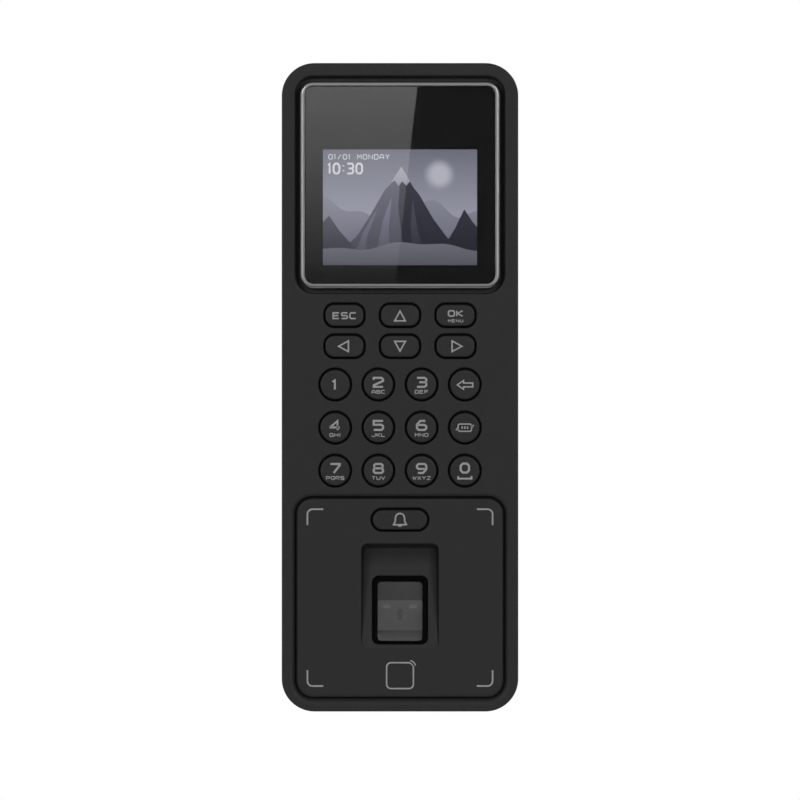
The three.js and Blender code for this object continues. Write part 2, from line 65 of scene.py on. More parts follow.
def rounded(w, h, r, x=0.0, z=0.0, corner=12, side=1):
    """Returns outline(grow): a rounded rectangle's points, anticlockwise, offset by grow."""
    def outline(grow=0.0):
        radius = max(r + grow, 0.02)
        half_w, half_h = w / 2 + grow - radius, h / 2 + grow - radius
        points = []
        for k, (sx, sz) in enumerate([(1, 1), (-1, 1), (-1, -1), (1, -1)]):
            for i in range(corner + 1):
                a = QUARTER * (k + i / corner)
                points.append((
                    x + sx * half_w + radius * math.cos(a),
                    z + sz * half_h + radius * math.sin(a),
                ))
            end, (nx, nz) = points[-1], [(-1, 1), (-1, -1), (1, -1), (1, 1)][k]
            a = QUARTER * (k + 1)
            start = (
                x + nx * half_w + radius * math.cos(a),
                z + nz * half_h + radius * math.sin(a),
            )
            for i in range(1, side):
                t = i / side
                points.append((end[0] + (start[0] - end[0]) * t, end[1] + (start[1] - end[1]) * t))
        return points
    return outline


def circle(r, x=0.0, z=0.0, steps=64):
    """Returns outline(grow): a circle's points, anticlockwise."""
    def outline(grow=0.0):
        return [
            (x + (r + grow) * math.cos(2 * math.pi * i / steps),
             z + (r + grow) * math.sin(2 * math.pi * i / steps))
            for i in range(steps)
        ]
    return outline


def roll(g0, u0, g1, u1, steps=5):
    """A profile's quarter turn: it leaves (g0, u0) along the face and meets (g1, u1) along the wall."""
    angles = [QUARTER * i / steps for i in range(steps + 1)]
    return [(g0 + (g1 - g0) * math.sin(a), u0 + (u1 - u0) * (1 - math.cos(a))) for a in angles]


def rise(g0, u0, g1, u1, steps=5):
    """The same turn the other way: it leaves along the wall and meets the next face."""
    return roll(g1, u1, g0, u0, steps)[::-1]


# ---------- meshes ----------
class Skin:
    """A mesh in the making: rings of points, walls between rings and flat caps."""

    def __init__(self):
        self.points = []
        self.faces = []

    def loop(self, points):
        """Adds a closed run of (x, z, u) points and returns their numbers."""
        start = len(self.points)
        self.points += points
        return list(range(start, len(self.points)))

    def ring(self, points, u):
        """Adds a run of (x, z) points at one distance out from the wall."""
        return self.loop([(x, z, u) for x, z in points])

    def wall(self, a, b):
        for i in range(len(a)):
            j = (i + 1) % len(a)
            self.faces.append((a[i], a[j], b[j], b[i]))

    def walls(self, rings):
        for a, b in zip(rings, rings[1:]):
            self.wall(a, b)

    def sweep(self, outline, profile):
        """Walls along a profile of (grow, u) steps; returns the first ring and the last."""
        rings = [self.ring(outline(grow), u) for grow, u in profile]
        self.walls(rings)
        return rings[0], rings[-1]

    def cap(self, outer, *holes):
        """A flat face inside a ring, round any rings given as holes."""
        loops = [outer, *holes]
        flat = [i for loop in loops for i in loop]
        places = [[Vector((self.points[i][0], self.points[i][1], 0)) for i in loop] for loop in loops]
        for a, b, c in geometry.tessellate_polygon(places):
            self.faces.append((flat[a], flat[b], flat[c]))

    def solid(self, outline, profile):
        """A closed solid: an outline swept along a profile, with both ends capped."""
        first, last = self.sweep(outline, profile)
        self.cap(first)
        self.cap(last)

    def turn(self, profile, x, z, steps=64):
        """A turned solid from a profile of (radius, u)."""
        self.solid(circle(0, x, z, steps), profile)


def weigh_normals(obj):
    """Lets the large faces set the shading, so that flat faces stay flat beside their rolled edges."""
    weighted = obj.modifiers.new("face_weighted_normals", "WEIGHTED_NORMAL")
    weighted.keep_sharp = True


SAME_POINT = 1e-7
# Angles in degrees above which an edge stays crisp, on solid pieces and on print.
CRISP_EDGE = 32
FINE_EDGE = 20


def piece(name, skin, material, body="case", replaces=(), place=None, sharp=CRISP_EDGE):
    """Makes a skin into a Blender object that rides on a body; edges over sharp degrees stay crisp."""
    mesh = bpy.data.meshes.new(name)
    mesh.from_pydata([(x * MM, -u * MM, z * MM) for x, z, u in skin.points], [], skin.faces)
    bm = bmesh.new()
    bm.from_mesh(mesh)
    bmesh.ops.remove_doubles(bm, verts=bm.verts, dist=SAME_POINT)
    bmesh.ops.dissolve_degenerate(bm, edges=bm.edges, dist=SAME_POINT / 10)
    bmesh.ops.recalc_face_normals(bm, faces=bm.faces)
    bm.to_mesh(mesh)
    bm.free()
    if place is not None:
        mesh.transform(place)
    mesh.polygons.foreach_set("use_smooth", [True] * len(mesh.polygons))
    mesh.set_sharp_from_angle(angle=math.radians(sharp))
    mesh.materials.append(material)
    obj = bpy.data.objects.new(name, mesh)
    bpy.context.scene.collection.objects.link(obj)
    weigh_normals(obj)
    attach(obj, body)
    if replaces:
        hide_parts(*([replaces] if isinstance(replaces, str) else replaces))
    return obj


# ---------- finishes ----------
def linear(hex_colour):
    """An sRGB hex colour as the linear colour that shaders take."""
    channels = [int(hex_colour[i:i + 2], 16) / 255 for i in (1, 3, 5)]
    return (*[c / 12.92 if c <= 0.04045 else ((c + 0.055) / 1.055) ** 2.4 for c in channels], 1.0)


def add(tree, kind, inputs=(), **settings):
    """Adds a node with its settings, and sets or links its inputs."""
    new = tree.nodes.new("ShaderNode" + kind)
    for key, value in settings.items():
        setattr(new, key, value)
    for key, value in dict(inputs).items():
        if isinstance(value, bpy.types.NodeSocket):
            tree.links.new(value, new.inputs[key])
        else:
            new.inputs[key].default_value = value
    return new


def finish_of(name, build, **fixed):
    """A material whose main shader has the fixed sockets set and is dressed by build(tree, shader)."""
    material = bpy.data.materials.new(name)
    material.use_nodes = True
    tree = material.node_tree
    shader = tree.nodes["Principled BSDF"]
    for key, value in fixed.items():
        shader.inputs[key.replace("_", " ")].default_value = value
    build(tree, shader)
    return material


def place_of(tree, cell_mm):
    """Object coordinates scaled so that one unit is one cell of the pattern."""
    where = add(tree, "TexCoord")
    scale = (1 / (cell_mm * MM),) * 3
    return add(tree, "Mapping", {"Vector": where.outputs["Object"], "Scale": scale}).outputs["Vector"]


def mottled(tree, shader, dark, light, size_mm):
    """Colour that drifts between two near shades in patches of a real size."""
    drift = add(tree, "TexNoise", {
        "Vector": place_of(tree, size_mm), "Scale": 1.0, "Detail": 4.0, "Roughness": 0.6,
    })
    shade = add(tree, "Mix", {
        "Factor": drift.outputs["Fac"], "A": linear(dark), "B": linear(light),
    }, data_type="RGBA")
    tree.links.new(shade.outputs["Result"], shader.inputs["Base Color"])


def graded(tree, low, high, z0, z1):
    """A colour that runs from low at the height z0 to high at z1."""
    height = add(tree, "SeparateXYZ", {"Vector": add(tree, "TexCoord").outputs["Object"]})
    share = add(tree, "MapRange", {"Value": height.outputs["Z"], "From Min": z0 * MM, "From Max": z1 * MM})
    shade = add(tree, "Mix", {
        "Factor": share.outputs["Result"], "A": linear(low), "B": linear(high),
    }, data_type="RGBA")
    return shade.outputs["Result"]


def uneven_gloss(tree, shader, low, high, size_mm):
    """Roughness that wanders between two values in patches of a real size."""
    patch = add(tree, "TexNoise", {"Vector": place_of(tree, size_mm), "Scale": 1.0, "Detail": 3.0})
    spread = add(tree, "MapRange", {"Value": patch.outputs["Fac"], "To Min": low, "To Max": high})
    tree.links.new(spread.outputs["Result"], shader.inputs["Roughness"])


def grain(tree, shader, cell_mm, depth_mm, kind="TexNoise", **extra):
    """Surface relief with cells of a real size and depth."""
    pattern = add(tree, kind, {"Vector": place_of(tree, cell_mm), "Scale": 1.0, **extra})
    height = pattern.outputs["Distance" if kind == "TexVoronoi" else "Fac"]
    bump = add(tree, "Bump", {"Height": height, "Strength": 1.0, "Distance": depth_mm * MM})
    tree.links.new(bump.outputs["Normal"], shader.inputs["Normal"])


def spark_eroded_abs(tree, shader):
    """Moulded in a spark-eroded tool: an even matt black whose fine pebble grain breaks up every highlight.

    The real grain is near 0.08 mm, too fine to show, so its cells are drawn 0.22 mm wide.
    """
    mottled(tree, shader, "#202021", "#252526", 9.0)
    uneven_gloss(tree, shader, 0.52, 0.62, 3.0)
    grain(tree, shader, 0.22, 0.012, Detail=3.0, Roughness=0.65)


def fine_matt_abs(tree, shader):
    """The reader panel's own moulding, from a finer tool: as black as the case, a little smoother."""
    mottled(tree, shader, "#1f1f20", "#242425", 7.0)
    uneven_gloss(tree, shader, 0.50, 0.60, 4.0)
    grain(tree, shader, 0.18, 0.009, Detail=3.0, Roughness=0.6)


def satin_abs(tree, shader):
    """Satin keycaps, polished slightly by fingers: a soft sheen that drifts over each cap."""
    mottled(tree, shader, "#212122", "#262627", 6.0)
    uneven_gloss(tree, shader, 0.40, 0.50, 4.0)
    grain(tree, shader, 0.16, 0.005, Detail=2.0)


def pad_print(tree, shader):
    """Pad-printed ink: light grey, dry, thinner in places where the pad left less."""
    mottled(tree, shader, "#bdbdbe", "#cdcdce", 0.5)
    uneven_gloss(tree, shader, 0.45, 0.6, 0.6)
    grain(tree, shader, 0.08, 0.003, Detail=2.0)


def satin_chrome(tree, shader):
    """Satin chrome on plastic: a soft silver line that follows the light without a hard mirror edge."""
    mottled(tree, shader, "#a4a4a5", "#b0b0b1", 5.0)
    uneven_gloss(tree, shader, 0.34, 0.42, 1.2)
    grain(tree, shader, 0.05, 0.0006, Detail=2.0)


def soft_rubber(tree, shader):
    """Moulded elastomer: deep black that gives back almost no light, with a faint bloom."""
    mottled(tree, shader, "#101011", "#171718", 1.5)
    uneven_gloss(tree, shader, 0.72, 0.88, 1.0)
    grain(tree, shader, 0.12, 0.006, Detail=3.0)


def black_foam(tree, shader):
    """Closed-cell sealing foam, cut from sheet: the darkest thing on the object, with open pores; its deep
    black with little sheen also serves as painted shade in the gap round the finger glass.
    """
    mottled(tree, shader, "#070707", "#0c0c0c", 0.8)
    uneven_gloss(tree, shader, 0.85, 0.95, 0.8)
    grain(tree, shader, 0.25, 0.02, kind="TexVoronoi")


def zinc_steel(tree, shader):
    """Zinc-plated sheet: cool grey metal with the pale clouds and streaks that passivation leaves."""
    mottled(tree, shader, "#7c8083", "#9a9ea1", 2.5)
    uneven_gloss(tree, shader, 0.38, 0.54, 1.8)
    grain(tree, shader, 0.35, 0.004, Detail=5.0)


def nickel_steel(tree, shader):
    """Nickel plate: a warm bright metal, slightly worn where the driver and the thread rub."""
    mottled(tree, shader, "#9b9a95", "#b5b4ae", 1.0)
    uneven_gloss(tree, shader, 0.22, 0.36, 0.6)
    grain(tree, shader, 0.1, 0.002, Detail=3.0)


def solder_mask(tree, shader):
    """Lacquered circuit board: glossy dark green with paler green where copper lies under it."""
    mottled(tree, shader, "#0c3a1c", "#14522a", 1.4)
    uneven_gloss(tree, shader, 0.22, 0.34, 2.0)
    grain(tree, shader, 0.3, 0.01, Detail=2.0)


def ivory_nylon(tree, shader):
    """Unpigmented nylon: a waxy off-white with soft flow marks."""
    mottled(tree, shader, "#d8d4c4", "#e4e0d2", 2.0)
    uneven_gloss(tree, shader, 0.38, 0.5, 1.0)
    grain(tree, shader, 0.15, 0.003, Detail=2.0)


def engineering_plastic(tree, shader):
    """Glass-filled nylon: near black, with fibres that roughen the surface in tiny streaks."""
    mottled(tree, shader, "#151516", "#1d1d1e", 2.0)
    uneven_gloss(tree, shader, 0.4, 0.55, 1.5)
    grain(tree, shader, 0.15, 0.005, Detail=2.0)


def gold_contact(tree, shader):
    """Flash gold on a contact: a small warm glint, duller at its tip."""
    mottled(tree, shader, "#c79a4b", "#dcb466", 0.4)
    uneven_gloss(tree, shader, 0.2, 0.32, 0.3)


def amber_film(tree, shader):
    """Polyimide film over copper: a clear amber that looks brown where it is folded."""
    mottled(tree, shader, "#8a4a12", "#a8621e", 1.2)
    uneven_gloss(tree, shader, 0.25, 0.35, 1.0)
    grain(tree, shader, 0.6, 0.004, Detail=1.0)


def grey_silicone(tree, shader):
    """Compression-moulded silicone: a dusty mid grey with no sharp highlight."""
    mottled(tree, shader, "#3c3d3f", "#464749", 2.0)
    uneven_gloss(tree, shader, 0.55, 0.7, 1.5)
    grain(tree, shader, 0.1, 0.004, Detail=2.0)


def clear_glass(tree, shader):
    """Polished cover glass: it mirrors the room sharply, and the picture and the border show through."""
    uneven_gloss(tree, shader, 0.0, 0.02, 9.0)


def prism_glass(tree, shader):
    """The reader's finger glass: clear, with a trace of haze that fingers leave on it."""
    uneven_gloss(tree, shader, 0.03, 0.07, 2.0)


def border_ink(tree, shader):
    """Ink printed on the back of the glass: a deep even black."""
    mottled(tree, shader, "#0e0e0f", "#131314", 4.0)
    uneven_gloss(tree, shader, 0.5, 0.6, 2.0)


def tray_plastic(tree, shader):
    """The light tray behind the finger glass: matt grey, graded paler toward its top, the scoop's deep end,
    as painted light that offsets the scoop's shade there.
    """
    # Painted light: the tray's grey runs paler toward the top to offset the shade of the scoop's deep end.
    tree.links.new(graded(tree, "#585858", "#7c7c7c", -80, -62), shader.inputs["Base Color"])
    uneven_gloss(tree, shader, 0.5, 0.6, 1.0)
    grain(tree, shader, 0.3, 0.004)


def frosted_window(tree, shader):
    """Frosted plastic that spreads the lamps' light: the paler band across the finger glass, graded paler
    toward its top as painted light against the scoop's shade.
    """
    # Painted light: the band's grey runs paler toward the top to offset the scoop's shade.
    tree.links.new(graded(tree, "#898989", "#9f9f9f", -77, -68), shader.inputs["Base Color"])
    uneven_gloss(tree, shader, 0.5, 0.65, 1.0)
    grain(tree, shader, 0.2, 0.004)


def lamp_resin(tree, shader):
    """An unlit lamp's milky resin: two faint pale spots."""
    mottled(tree, shader, "#aeaeae", "#bababa", 1.0)
    uneven_gloss(tree, shader, 0.25, 0.4, 0.8)


def smoked_window(tree, shader):
    """The camera's smoked window: one faint dark upright spot between the lamps."""
    mottled(tree, shader, "#7c7c7c", "#868686", 1.0)
    uneven_gloss(tree, shader, 0.3, 0.4, 0.8)


def tinned_steel(tree, shader):
    """Tinned steel sheet: a pale, slightly rippled metal as on shields and solder."""
    mottled(tree, shader, "#b4b4b2", "#c6c6c4", 3.0)
    uneven_gloss(tree, shader, 0.24, 0.38, 2.5)
    grain(tree, shader, 0.5, 0.003, Detail=3.0)


ABS = finish_of("spark_eroded_black_ABS", spark_eroded_abs, IOR=1.5)
PANEL_ABS = finish_of("fine_matt_black_ABS", fine_matt_abs, IOR=1.5)
KEYCAP = finish_of("satin_black_ABS_keycap", satin_abs, IOR=1.5)
PRINT = finish_of("light_grey_pad_print_ink", pad_print, IOR=1.5)
CHROME = finish_of("satin_chrome_plate", satin_chrome, Metallic=1.0)
RUBBER = finish_of("black_elastomer", soft_rubber, IOR=1.5)
FOAM = finish_of("black_closed_cell_foam", black_foam, IOR=1.45, Specular_IOR_Level=0.1)
ZINC = finish_of("zinc_plated_steel_sheet", zinc_steel, Metallic=1.0)
NICKEL = finish_of("nickel_plated_steel", nickel_steel, Metallic=1.0)
TINNED = finish_of("tinned_steel_sheet", tinned_steel, Metallic=1.0)
BOARD = finish_of("green_solder_mask", solder_mask, IOR=1.55)
NYLON = finish_of("ivory_nylon", ivory_nylon, IOR=1.53)
BLACK = finish_of("black_glass_filled_nylon", engineering_plastic, IOR=1.53)
GOLD = finish_of("gold_plated_contact", gold_contact, Metallic=1.0)
FILM = finish_of("amber_polyimide_film", amber_film, IOR=1.6)
SILICONE = finish_of("grey_silicone_rubber", grey_silicone, IOR=1.42)
GLASS = finish_of("polished_cover_glass", clear_glass, IOR=1.5, Transmission_Weight=1.0)
PRISM = finish_of("hazed_finger_glass", prism_glass, IOR=1.52, Transmission_Weight=1.0)
MASK = finish_of("black_screen_printed_border", border_ink, IOR=1.5, Specular_IOR_Level=0.3)
TRAY = finish_of("grey_moulded_light_tray", tray_plastic, IOR=1.5)
WINDOW = finish_of("frosted_light_window", frosted_window, IOR=1.5)
LAMP = finish_of("milky_lamp_resin", lamp_resin, IOR=1.5)
SMOKED = finish_of("smoked_camera_window", smoked_window, IOR=1.5)


# ---------- driving sizes ----------
# The front shell: its face, the line where it meets the rear cover, and its walls.
CASE = extent("front_housing")
FACE_U = CASE.front
FACE_BACK = FACE_U - 2.5
FACE_EDGE = 0.5
SPLIT_U = CASE.back
CASE_CORNER = 10.4
CASE_WALL = 2.2
CASE_SCREWS = ["case_screw_1", "case_screw_2", "case_screw_3", "case_screw_4"]

# The screen: the plated ring, the gap round it, the seat under it and the lit picture.
TRIM = extent("screen_trim")
TRIM_CORNER = 4.3
TRIM_RIM = 1.5
SCREEN_GAP = 1.3
SEAT_U = 33.2
SEAT_THICK = 1.9
LENS = extent("screen_lens")
DISPLAY = extent("lcd_module")
PICTURE_W, PICTURE_H = 48.9, 36.7

# The reader panel, and the rolled shoulder that runs down to it.
PANEL = extent("reader_panel")
PANEL_CORNER = 5.3
PANEL_GAP = 0.07
PANEL_BACK = FACE_U - 2.5
PANEL_EDGE, PANEL_EDGE_DROP = 0.9, 1.1
SHOULDER_SIDE, SHOULDER_TOP, SHOULDER_BOTTOM = 2.0, 1.3, 2.4
SHOULDER_DEPTH = 1.7

# The finger scoop: straight slope, curved foot at its top end, and the sensor's place on the slope.
SCOOP_W = 24.6
SCOOP_CORNER = 2.0
SCOOP_TOP = -49.5
SCOOP_END = -82.6
SCOOP_SLOPE = 7 / 33.1
SCOOP_LEAN = 1.8
FOOT_START = -58.3
FOOT_RADIUS = 13.0
SENSOR_Z = -70.6
TILT = math.atan(SCOOP_SLOPE)

# The keys, by the shape of their caps.
ROUND_KEYS = [
    "digit_1_key", "digit_2_key", "digit_3_key", "backspace_key",
    "digit_4_key", "digit_5_key", "digit_6_key", "input_mode_key",
    "digit_7_key", "digit_8_key", "digit_9_key", "digit_0_key",
]
PILL_KEYS = ["escape_key", "up_key", "enter_key", "left_key", "down_key", "right_key"]
KEY_GAP = 0.08
KEY_SHOULDER = 0.8
ROUND_KEY_R = 5.2
PILL_W, PILL_H, PILL_R = 13.1, 7.75, 3.35
BELL_W, BELL_H, BELL_R = 18.3, 7.2, 3.6


def button(node):
    """The moving body that a key belongs to."""
    return node.replace("_key", "_button")


def key_outline(node):
    """The outline of a key's cap: round, pill-shaped, or the wide doorbell key."""
    at = extent(node)
    if node in ROUND_KEYS:
        return circle(ROUND_KEY_R, at.x, at.z)
    if node == "doorbell_key":
        return rounded(BELL_W, BELL_H, BELL_R, at.x, at.z, 16)
    return rounded(PILL_W, PILL_H, PILL_R, at.x, at.z, 16)


def key_hole(mouth, back):
    """The profile of a key's hole from the face to its back, with a rolled mouth of the width given."""
    return [
        (KEY_GAP + mouth + 0.15, FACE_U), *roll(KEY_GAP + mouth, FACE_U, KEY_GAP, FACE_U - mouth - 0.05, 5),
        (KEY_GAP, back),
    ]


# ---------- case ----------
def panel_opening(spread):
    """The recess round the reader panel; spread 1 is the outer line of its rolled shoulder."""
    side, top, bottom = (
        PANEL_GAP + (reach - PANEL_GAP) * spread for reach in (SHOULDER_SIDE, SHOULDER_TOP, SHOULDER_BOTTOM)
    )
    z0, z1 = PANEL.z0 - bottom, PANEL.z1 + top
    return rounded(PANEL.w + 2 * side, z1 - z0, PANEL_CORNER + side, 0, (z0 + z1) / 2)(0)


def seat(skin, outline, gap, seat_u, window, trough=0.0):
    """A frame behind an opening: a step that the piece rests on, with a trough round it."""
    margin = gap + 1.6
    under = 0.02
    back = seat_u - SEAT_THICK
    floor_u = seat_u - trough
    outer = skin.sweep(outline, [(margin, FACE_BACK), (margin, back)])
    step = skin.sweep(outline, [(gap, FACE_BACK), (gap, floor_u), (-under, floor_u), (-under, seat_u)])
    hole = skin.sweep(window, [(0, seat_u), (0, back)])
    skin.cap(outer[0], step[0])
    skin.cap(step[1], hole[0])
    skin.cap(outer[1], hole[1])


def post(skin, x, z, front_u):
    """A screw post with its pilot hole."""
    back = SPLIT_U + 0.7
    first, last = skin.sweep(circle(3.1, x, z, 32), [(0, front_u), (0, back)])
    mouth, blind = skin.sweep(circle(1.7, x, z, 24), [(0, back), (0, SPLIT_U + 11)])
    skin.cap(first)
    skin.cap(last, mouth)
    skin.cap(blind)


def front_housing():
    """The front shell: its face with every opening, its side walls, and the seats and posts behind."""
    skin = Skin()
    outer = rounded(CASE.w, CASE.h, CASE_CORNER, 0, 0, 20)
    front, back = skin.sweep(outer, [
        (-FACE_EDGE - 0.3, FACE_U), *roll(-FACE_EDGE, FACE_U, 0, FACE_U - FACE_EDGE),
        (0, SPLIT_U + 0.4), *rise(0, SPLIT_U + 0.4, -0.4, SPLIT_U, 3),
        (-CASE_WALL, SPLIT_U), (-CASE_WALL, FACE_BACK),
    ])
    screen = rounded(TRIM.w, TRIM.h, TRIM_CORNER, TRIM.x, TRIM.z, 14)
    holes = [skin.sweep(screen, [
        (SCREEN_GAP + 0.9, FACE_U), *roll(SCREEN_GAP + 0.75, FACE_U, SCREEN_GAP, FACE_U - 0.9, 6),
        (SCREEN_GAP, FACE_BACK),
    ])]
    turns = [QUARTER * i / 8 for i in range(9)]
    shoulder = [(1.15, 0), *[(1 - math.sin(a), SHOULDER_DEPTH * (1 - math.cos(a))) for a in turns]]
    rings = [skin.ring(panel_opening(spread), FACE_U - drop) for spread, drop in shoulder]
    rings.append(skin.ring(panel_opening(0), FACE_BACK))
    skin.walls(rings)
    holes.append((rings[0], rings[-1]))
    holes += [skin.sweep(key_outline(node), key_hole(0.3, FACE_BACK)) for node in ROUND_KEYS + PILL_KEYS]
    skin.cap(front, *[hole[0] for hole in holes])
    skin.cap(back, *[hole[1] for hole in holes])
    picture_window = rounded(DISPLAY.w + 0.7, DISPLAY.h + 0.7, 1, 0, DISPLAY.z)
    seat(skin, screen, SCREEN_GAP, SEAT_U, picture_window, 0.55)
    panel = rounded(PANEL.w, PANEL.h, PANEL_CORNER, 0, PANEL.z)
    panel_window = rounded(PANEL.w - 5, PANEL.h - 4, 3, 0, PANEL.z)
    seat(skin, panel, PANEL_GAP, PANEL_BACK - 0.1, panel_window)
    for screw_node in CASE_SCREWS:
        at = extent(screw_node)
        post(skin, at.x, at.z, SEAT_U - SEAT_THICK if at.z > 0 else FACE_BACK)
    piece("front_housing_shell", skin, ABS, replaces="front_housing")


# ---------- keys ----------
def keycap(node):
    """A key: foot, retaining flange, body and a rolled shoulder up to its flat top."""
    at = extent(node)
    top = at.front
    foot, flange = -1.2, 0.6
    flange_front = FACE_BACK - 0.2
    flange_back = flange_front - 0.95
    skin = Skin()
    skin.solid(key_outline(node), [
        (foot, at.back), (foot, flange_back), (flange - 0.1, flange_back),
        *roll(flange - 0.1, flange_back, flange, flange_back + 0.1, 2), (flange, flange_front),
        (0, flange_front), (0, top - 2.1), *rise(0.25 - KEY_SHOULDER, top - 0.3, -KEY_SHOULDER, top, 5),
        (-KEY_SHOULDER - 0.3, top),
    ])
    piece(node + "_cap", skin, KEYCAP, button(node), replaces=node)


# ---------- printed marks ----------
# Each letter's strokes as x z pairs on a 4 by 4 grid; a slash lifts the pen.
GLYPHS = {
    "0": "1 0 3 0 4 1 4 3 3 4 1 4 0 3 0 1 1 0", "1": "1 3.3 2 4 2 0",
    "2": "0 3.1 0 4 3.3 4 4 3.4 4 2.6 0 0.7 0 0 4 0",
    "3": "0 4 3.3 4 4 3.4 4 2.6 3.4 2.05 1 2.05/3.4 2.05 4 1.5 4 0.6 3.3 0 0 0",
    "4": "3 0 3 4 0 1.3 0 1.1 4 1.1", "5": "4 4 0 4 0 2.3 3.3 2.3 4 1.7 4 0.6 3.3 0 0 0",
    "6": "3.6 4 1.4 4 0 2.4 0 0.7 0.7 0 3.3 0 4 0.7 4 1.6 3.3 2.2 0.2 2.2", "7": "0 4 4 4 4 3.5 1.4 0",
    "8": "0.7 2.1 0 1.5 0 0.6 0.7 0 3.3 0 4 0.6 4 1.5 3.3 2.1 0.7 2.1/"
         "0.7 2.1 0.2 2.6 0.2 3.5 0.8 4 3.2 4 3.8 3.5 3.8 2.6 3.3 2.1",
    "9": "0.4 0 2.6 0 4 1.6 4 3.3 3.3 4 0.7 4 0 3.3 0 2.4 0.7 1.8 3.8 1.8",
    "A": "0 0 0 2.8 1.2 4 2.8 4 4 2.8 4 0/0 1.4 4 1.4",
    "B": "0 0 0 4 3.3 4 3.9 3.5 3.9 2.6 3.3 2.1 0 2.1/3.3 2.1 4 1.5 4 0.6 3.3 0 0 0",
    "C": "4 4 0.8 4 0 3.2 0 0.8 0.8 0 4 0", "D": "0 0 0 4 3.2 4 4 3.2 4 0.8 3.2 0 0 0",
    "E": "4 4 0 4 0 0 4 0/0 2.05 3.5 2.05", "F": "4 4 0 4 0 0/0 2.05 3.5 2.05",
    "G": "4 4 0.8 4 0 3.2 0 0.8 0.8 0 4 0 4 2 2.2 2", "H": "0 0 0 4/4 0 4 4/0 2 4 2", "I": "2 0 2 4",
    "J": "0 1 0 0.6 0.7 0 3.3 0 4 0.8 4 4", "K": "0 0 0 4/4 4 0.4 2 4 0", "L": "0 4 0 0 4 0",
    "M": "0 0 0 4 2 1.8 4 4 4 0", "N": "0 0 0 4 4 0 4 4",
    "O": "0.8 0 3.2 0 4 0.8 4 3.2 3.2 4 0.8 4 0 3.2 0 0.8 0.8 0",
    "P": "0 0 0 4 3.2 4 4 3.3 4 2.3 3.2 1.6 0 1.6",
    "Q": "0.8 0 3.2 0 4 0.8 4 3.2 3.2 4 0.8 4 0 3.2 0 0.8 0.8 0/2.4 1.4 4.2 -0.2",
    "R": "0 0 0 4 3.2 4 4 3.3 4 2.3 3.2 1.6 0 1.6/2.2 1.6 4 0",
    "S": "4 4 0.7 4 0 3.4 0 2.6 0.7 2.05 3.3 2.05 4 1.5 4 0.6 3.3 0 0 0", "T": "0 4 4 4/2 4 2 0",
    "U": "0 4 0 0.8 0.8 0 3.2 0 4 0.8 4 4", "V": "0 4 2 0 4 4", "W": "0 4 1 0 2 2.6 3 0 4 4",
    "X": "0 4 4 0/0 0 4 4", "Y": "0 4 2 2 4 4/2 2 2 0", "Z": "0 4 4 4 0 0 4 0",
    ":": "2 0.9 2 1.3/2 2.9 2 3.3", "/": "0.4 0 3.6 4",
}
PRINT_THICKNESS = 0.03
# The smallest cosine of half a corner's turn that a mitre is drawn for, so that sharp tips stay blunt.
SHARPEST_MITRE = 0.55


def ribbon(skin, path, width, u, thick=PRINT_THICKNESS):
    """A flat line of ink along a path, with mitred corners; a path that ends where it began is closed."""
    closed = math.dist(path[0], path[-1]) < 1e-6
    points = path[:-1] if closed else path
    n = len(points)
    sides = ([], [])
    for i, (x, z) in enumerate(points):
        before = points[i - 1] if closed or i else None
        after = points[(i + 1) % n] if closed or i < n - 1 else None
        headings = []
        for a, b in ((before, (x, z)), ((x, z), after)):
            if a is not None and b is not None:
                length = math.dist(a, b)
                headings.append(((b[0] - a[0]) / length, (b[1] - a[1]) / length))
        hx = sum(h[0] for h in headings)
        hz = sum(h[1] for h in headings)
        length = math.hypot(hx, hz)
        hx, hz = hx / length, hz / length
        reach = width / 2 / max(hx * headings[0][0] + hz * headings[0][1], SHARPEST_MITRE)
        for side, sign in zip(sides, (1, -1)):
            side.append((x - sign * hz * reach, z + sign * hx * reach))
    tops = [skin.ring(side, u + thick) for side in sides]
    feet = [skin.ring(side, u - thick) for side in sides]
    for i in range(n if closed else n - 1):
        j = (i + 1) % n
        skin.faces += [
            (tops[0][i], tops[1][i], tops[1][j], tops[0][j]),
            (feet[0][i], feet[0][j], feet[1][j], feet[1][i]),
            (tops[0][i], tops[0][j], feet[0][j], feet[0][i]),
            (tops[1][i], feet[1][i], feet[1][j], tops[1][j]),
        ]
    if not closed:
        for i in (0, n - 1):
            skin.faces.append((tops[0][i], feet[0][i], feet[1][i], tops[1][i]))


def lettering(skin, text, x, z, size, u, thick=PRINT_THICKNESS):
    """A line of stroke letters centred on (x, z), in a size of letter width, height, gap and stroke."""
    char_w, char_h, gap, stroke = size
    widths = [char_w * (NARROW if c in "1I:" else 1) for c in text]
    left = x - (sum(widths) + gap * (len(text) - 1)) / 2
    inner_h = char_h - stroke
    for char, wide in zip(text, widths):
        if char != " ":
            inner_w = char_w - stroke
            origin = left + wide / 2 - inner_w / 2
            for line in GLYPHS[char].split("/"):
                numbers = [float(v) for v in line.split()]
                ribbon(skin, [
                    (origin + inner_w * gx / 4, z - inner_h / 2 + inner_h * gz / 4)
                    for gx, gz in zip(numbers[::2], numbers[1::2])
                ], stroke, u, thick)
        left += wide + gap


def triangle(x, z, w, h, turn):
    """A closed triangle that points up before it is turned by so many quarter turns."""
    corners = [(0, h / 2), (-w / 2, -h / 2), (w / 2, -h / 2), (0, h / 2)]
    c, s = [(1, 0), (0, 1), (-1, 0), (0, -1)][turn]
    return [(x + c * a - s * b, z + s * a + c * b) for a, b in corners]


# Sizes of print: letter width, letter height, gap and stroke.
DIGIT_SIZE = (3.6, 3.5, 0, 0.65)
ZERO_SIZE = (3.3, 3.5, 0, 0.66)
GROUP_SIZE = (1.3, 1.2, 0.2, 0.24)
ESCAPE_SIZE = (2.3, 2.25, 0.35, 0.45)
ENTER_SIZE = (2.3, 2.15, 0.3, 0.45)
MENU_SIZE = (1.05, 1.0, 0.2, 0.2)
CLOCK_SIZE = (2.45, 3.7, 0.4, 0.6)
DATE_SIZE = (1.42, 1.7, 0.36, 0.24)
# The share of a letter's width that a 1, an I or a colon takes.
NARROW = 0.45


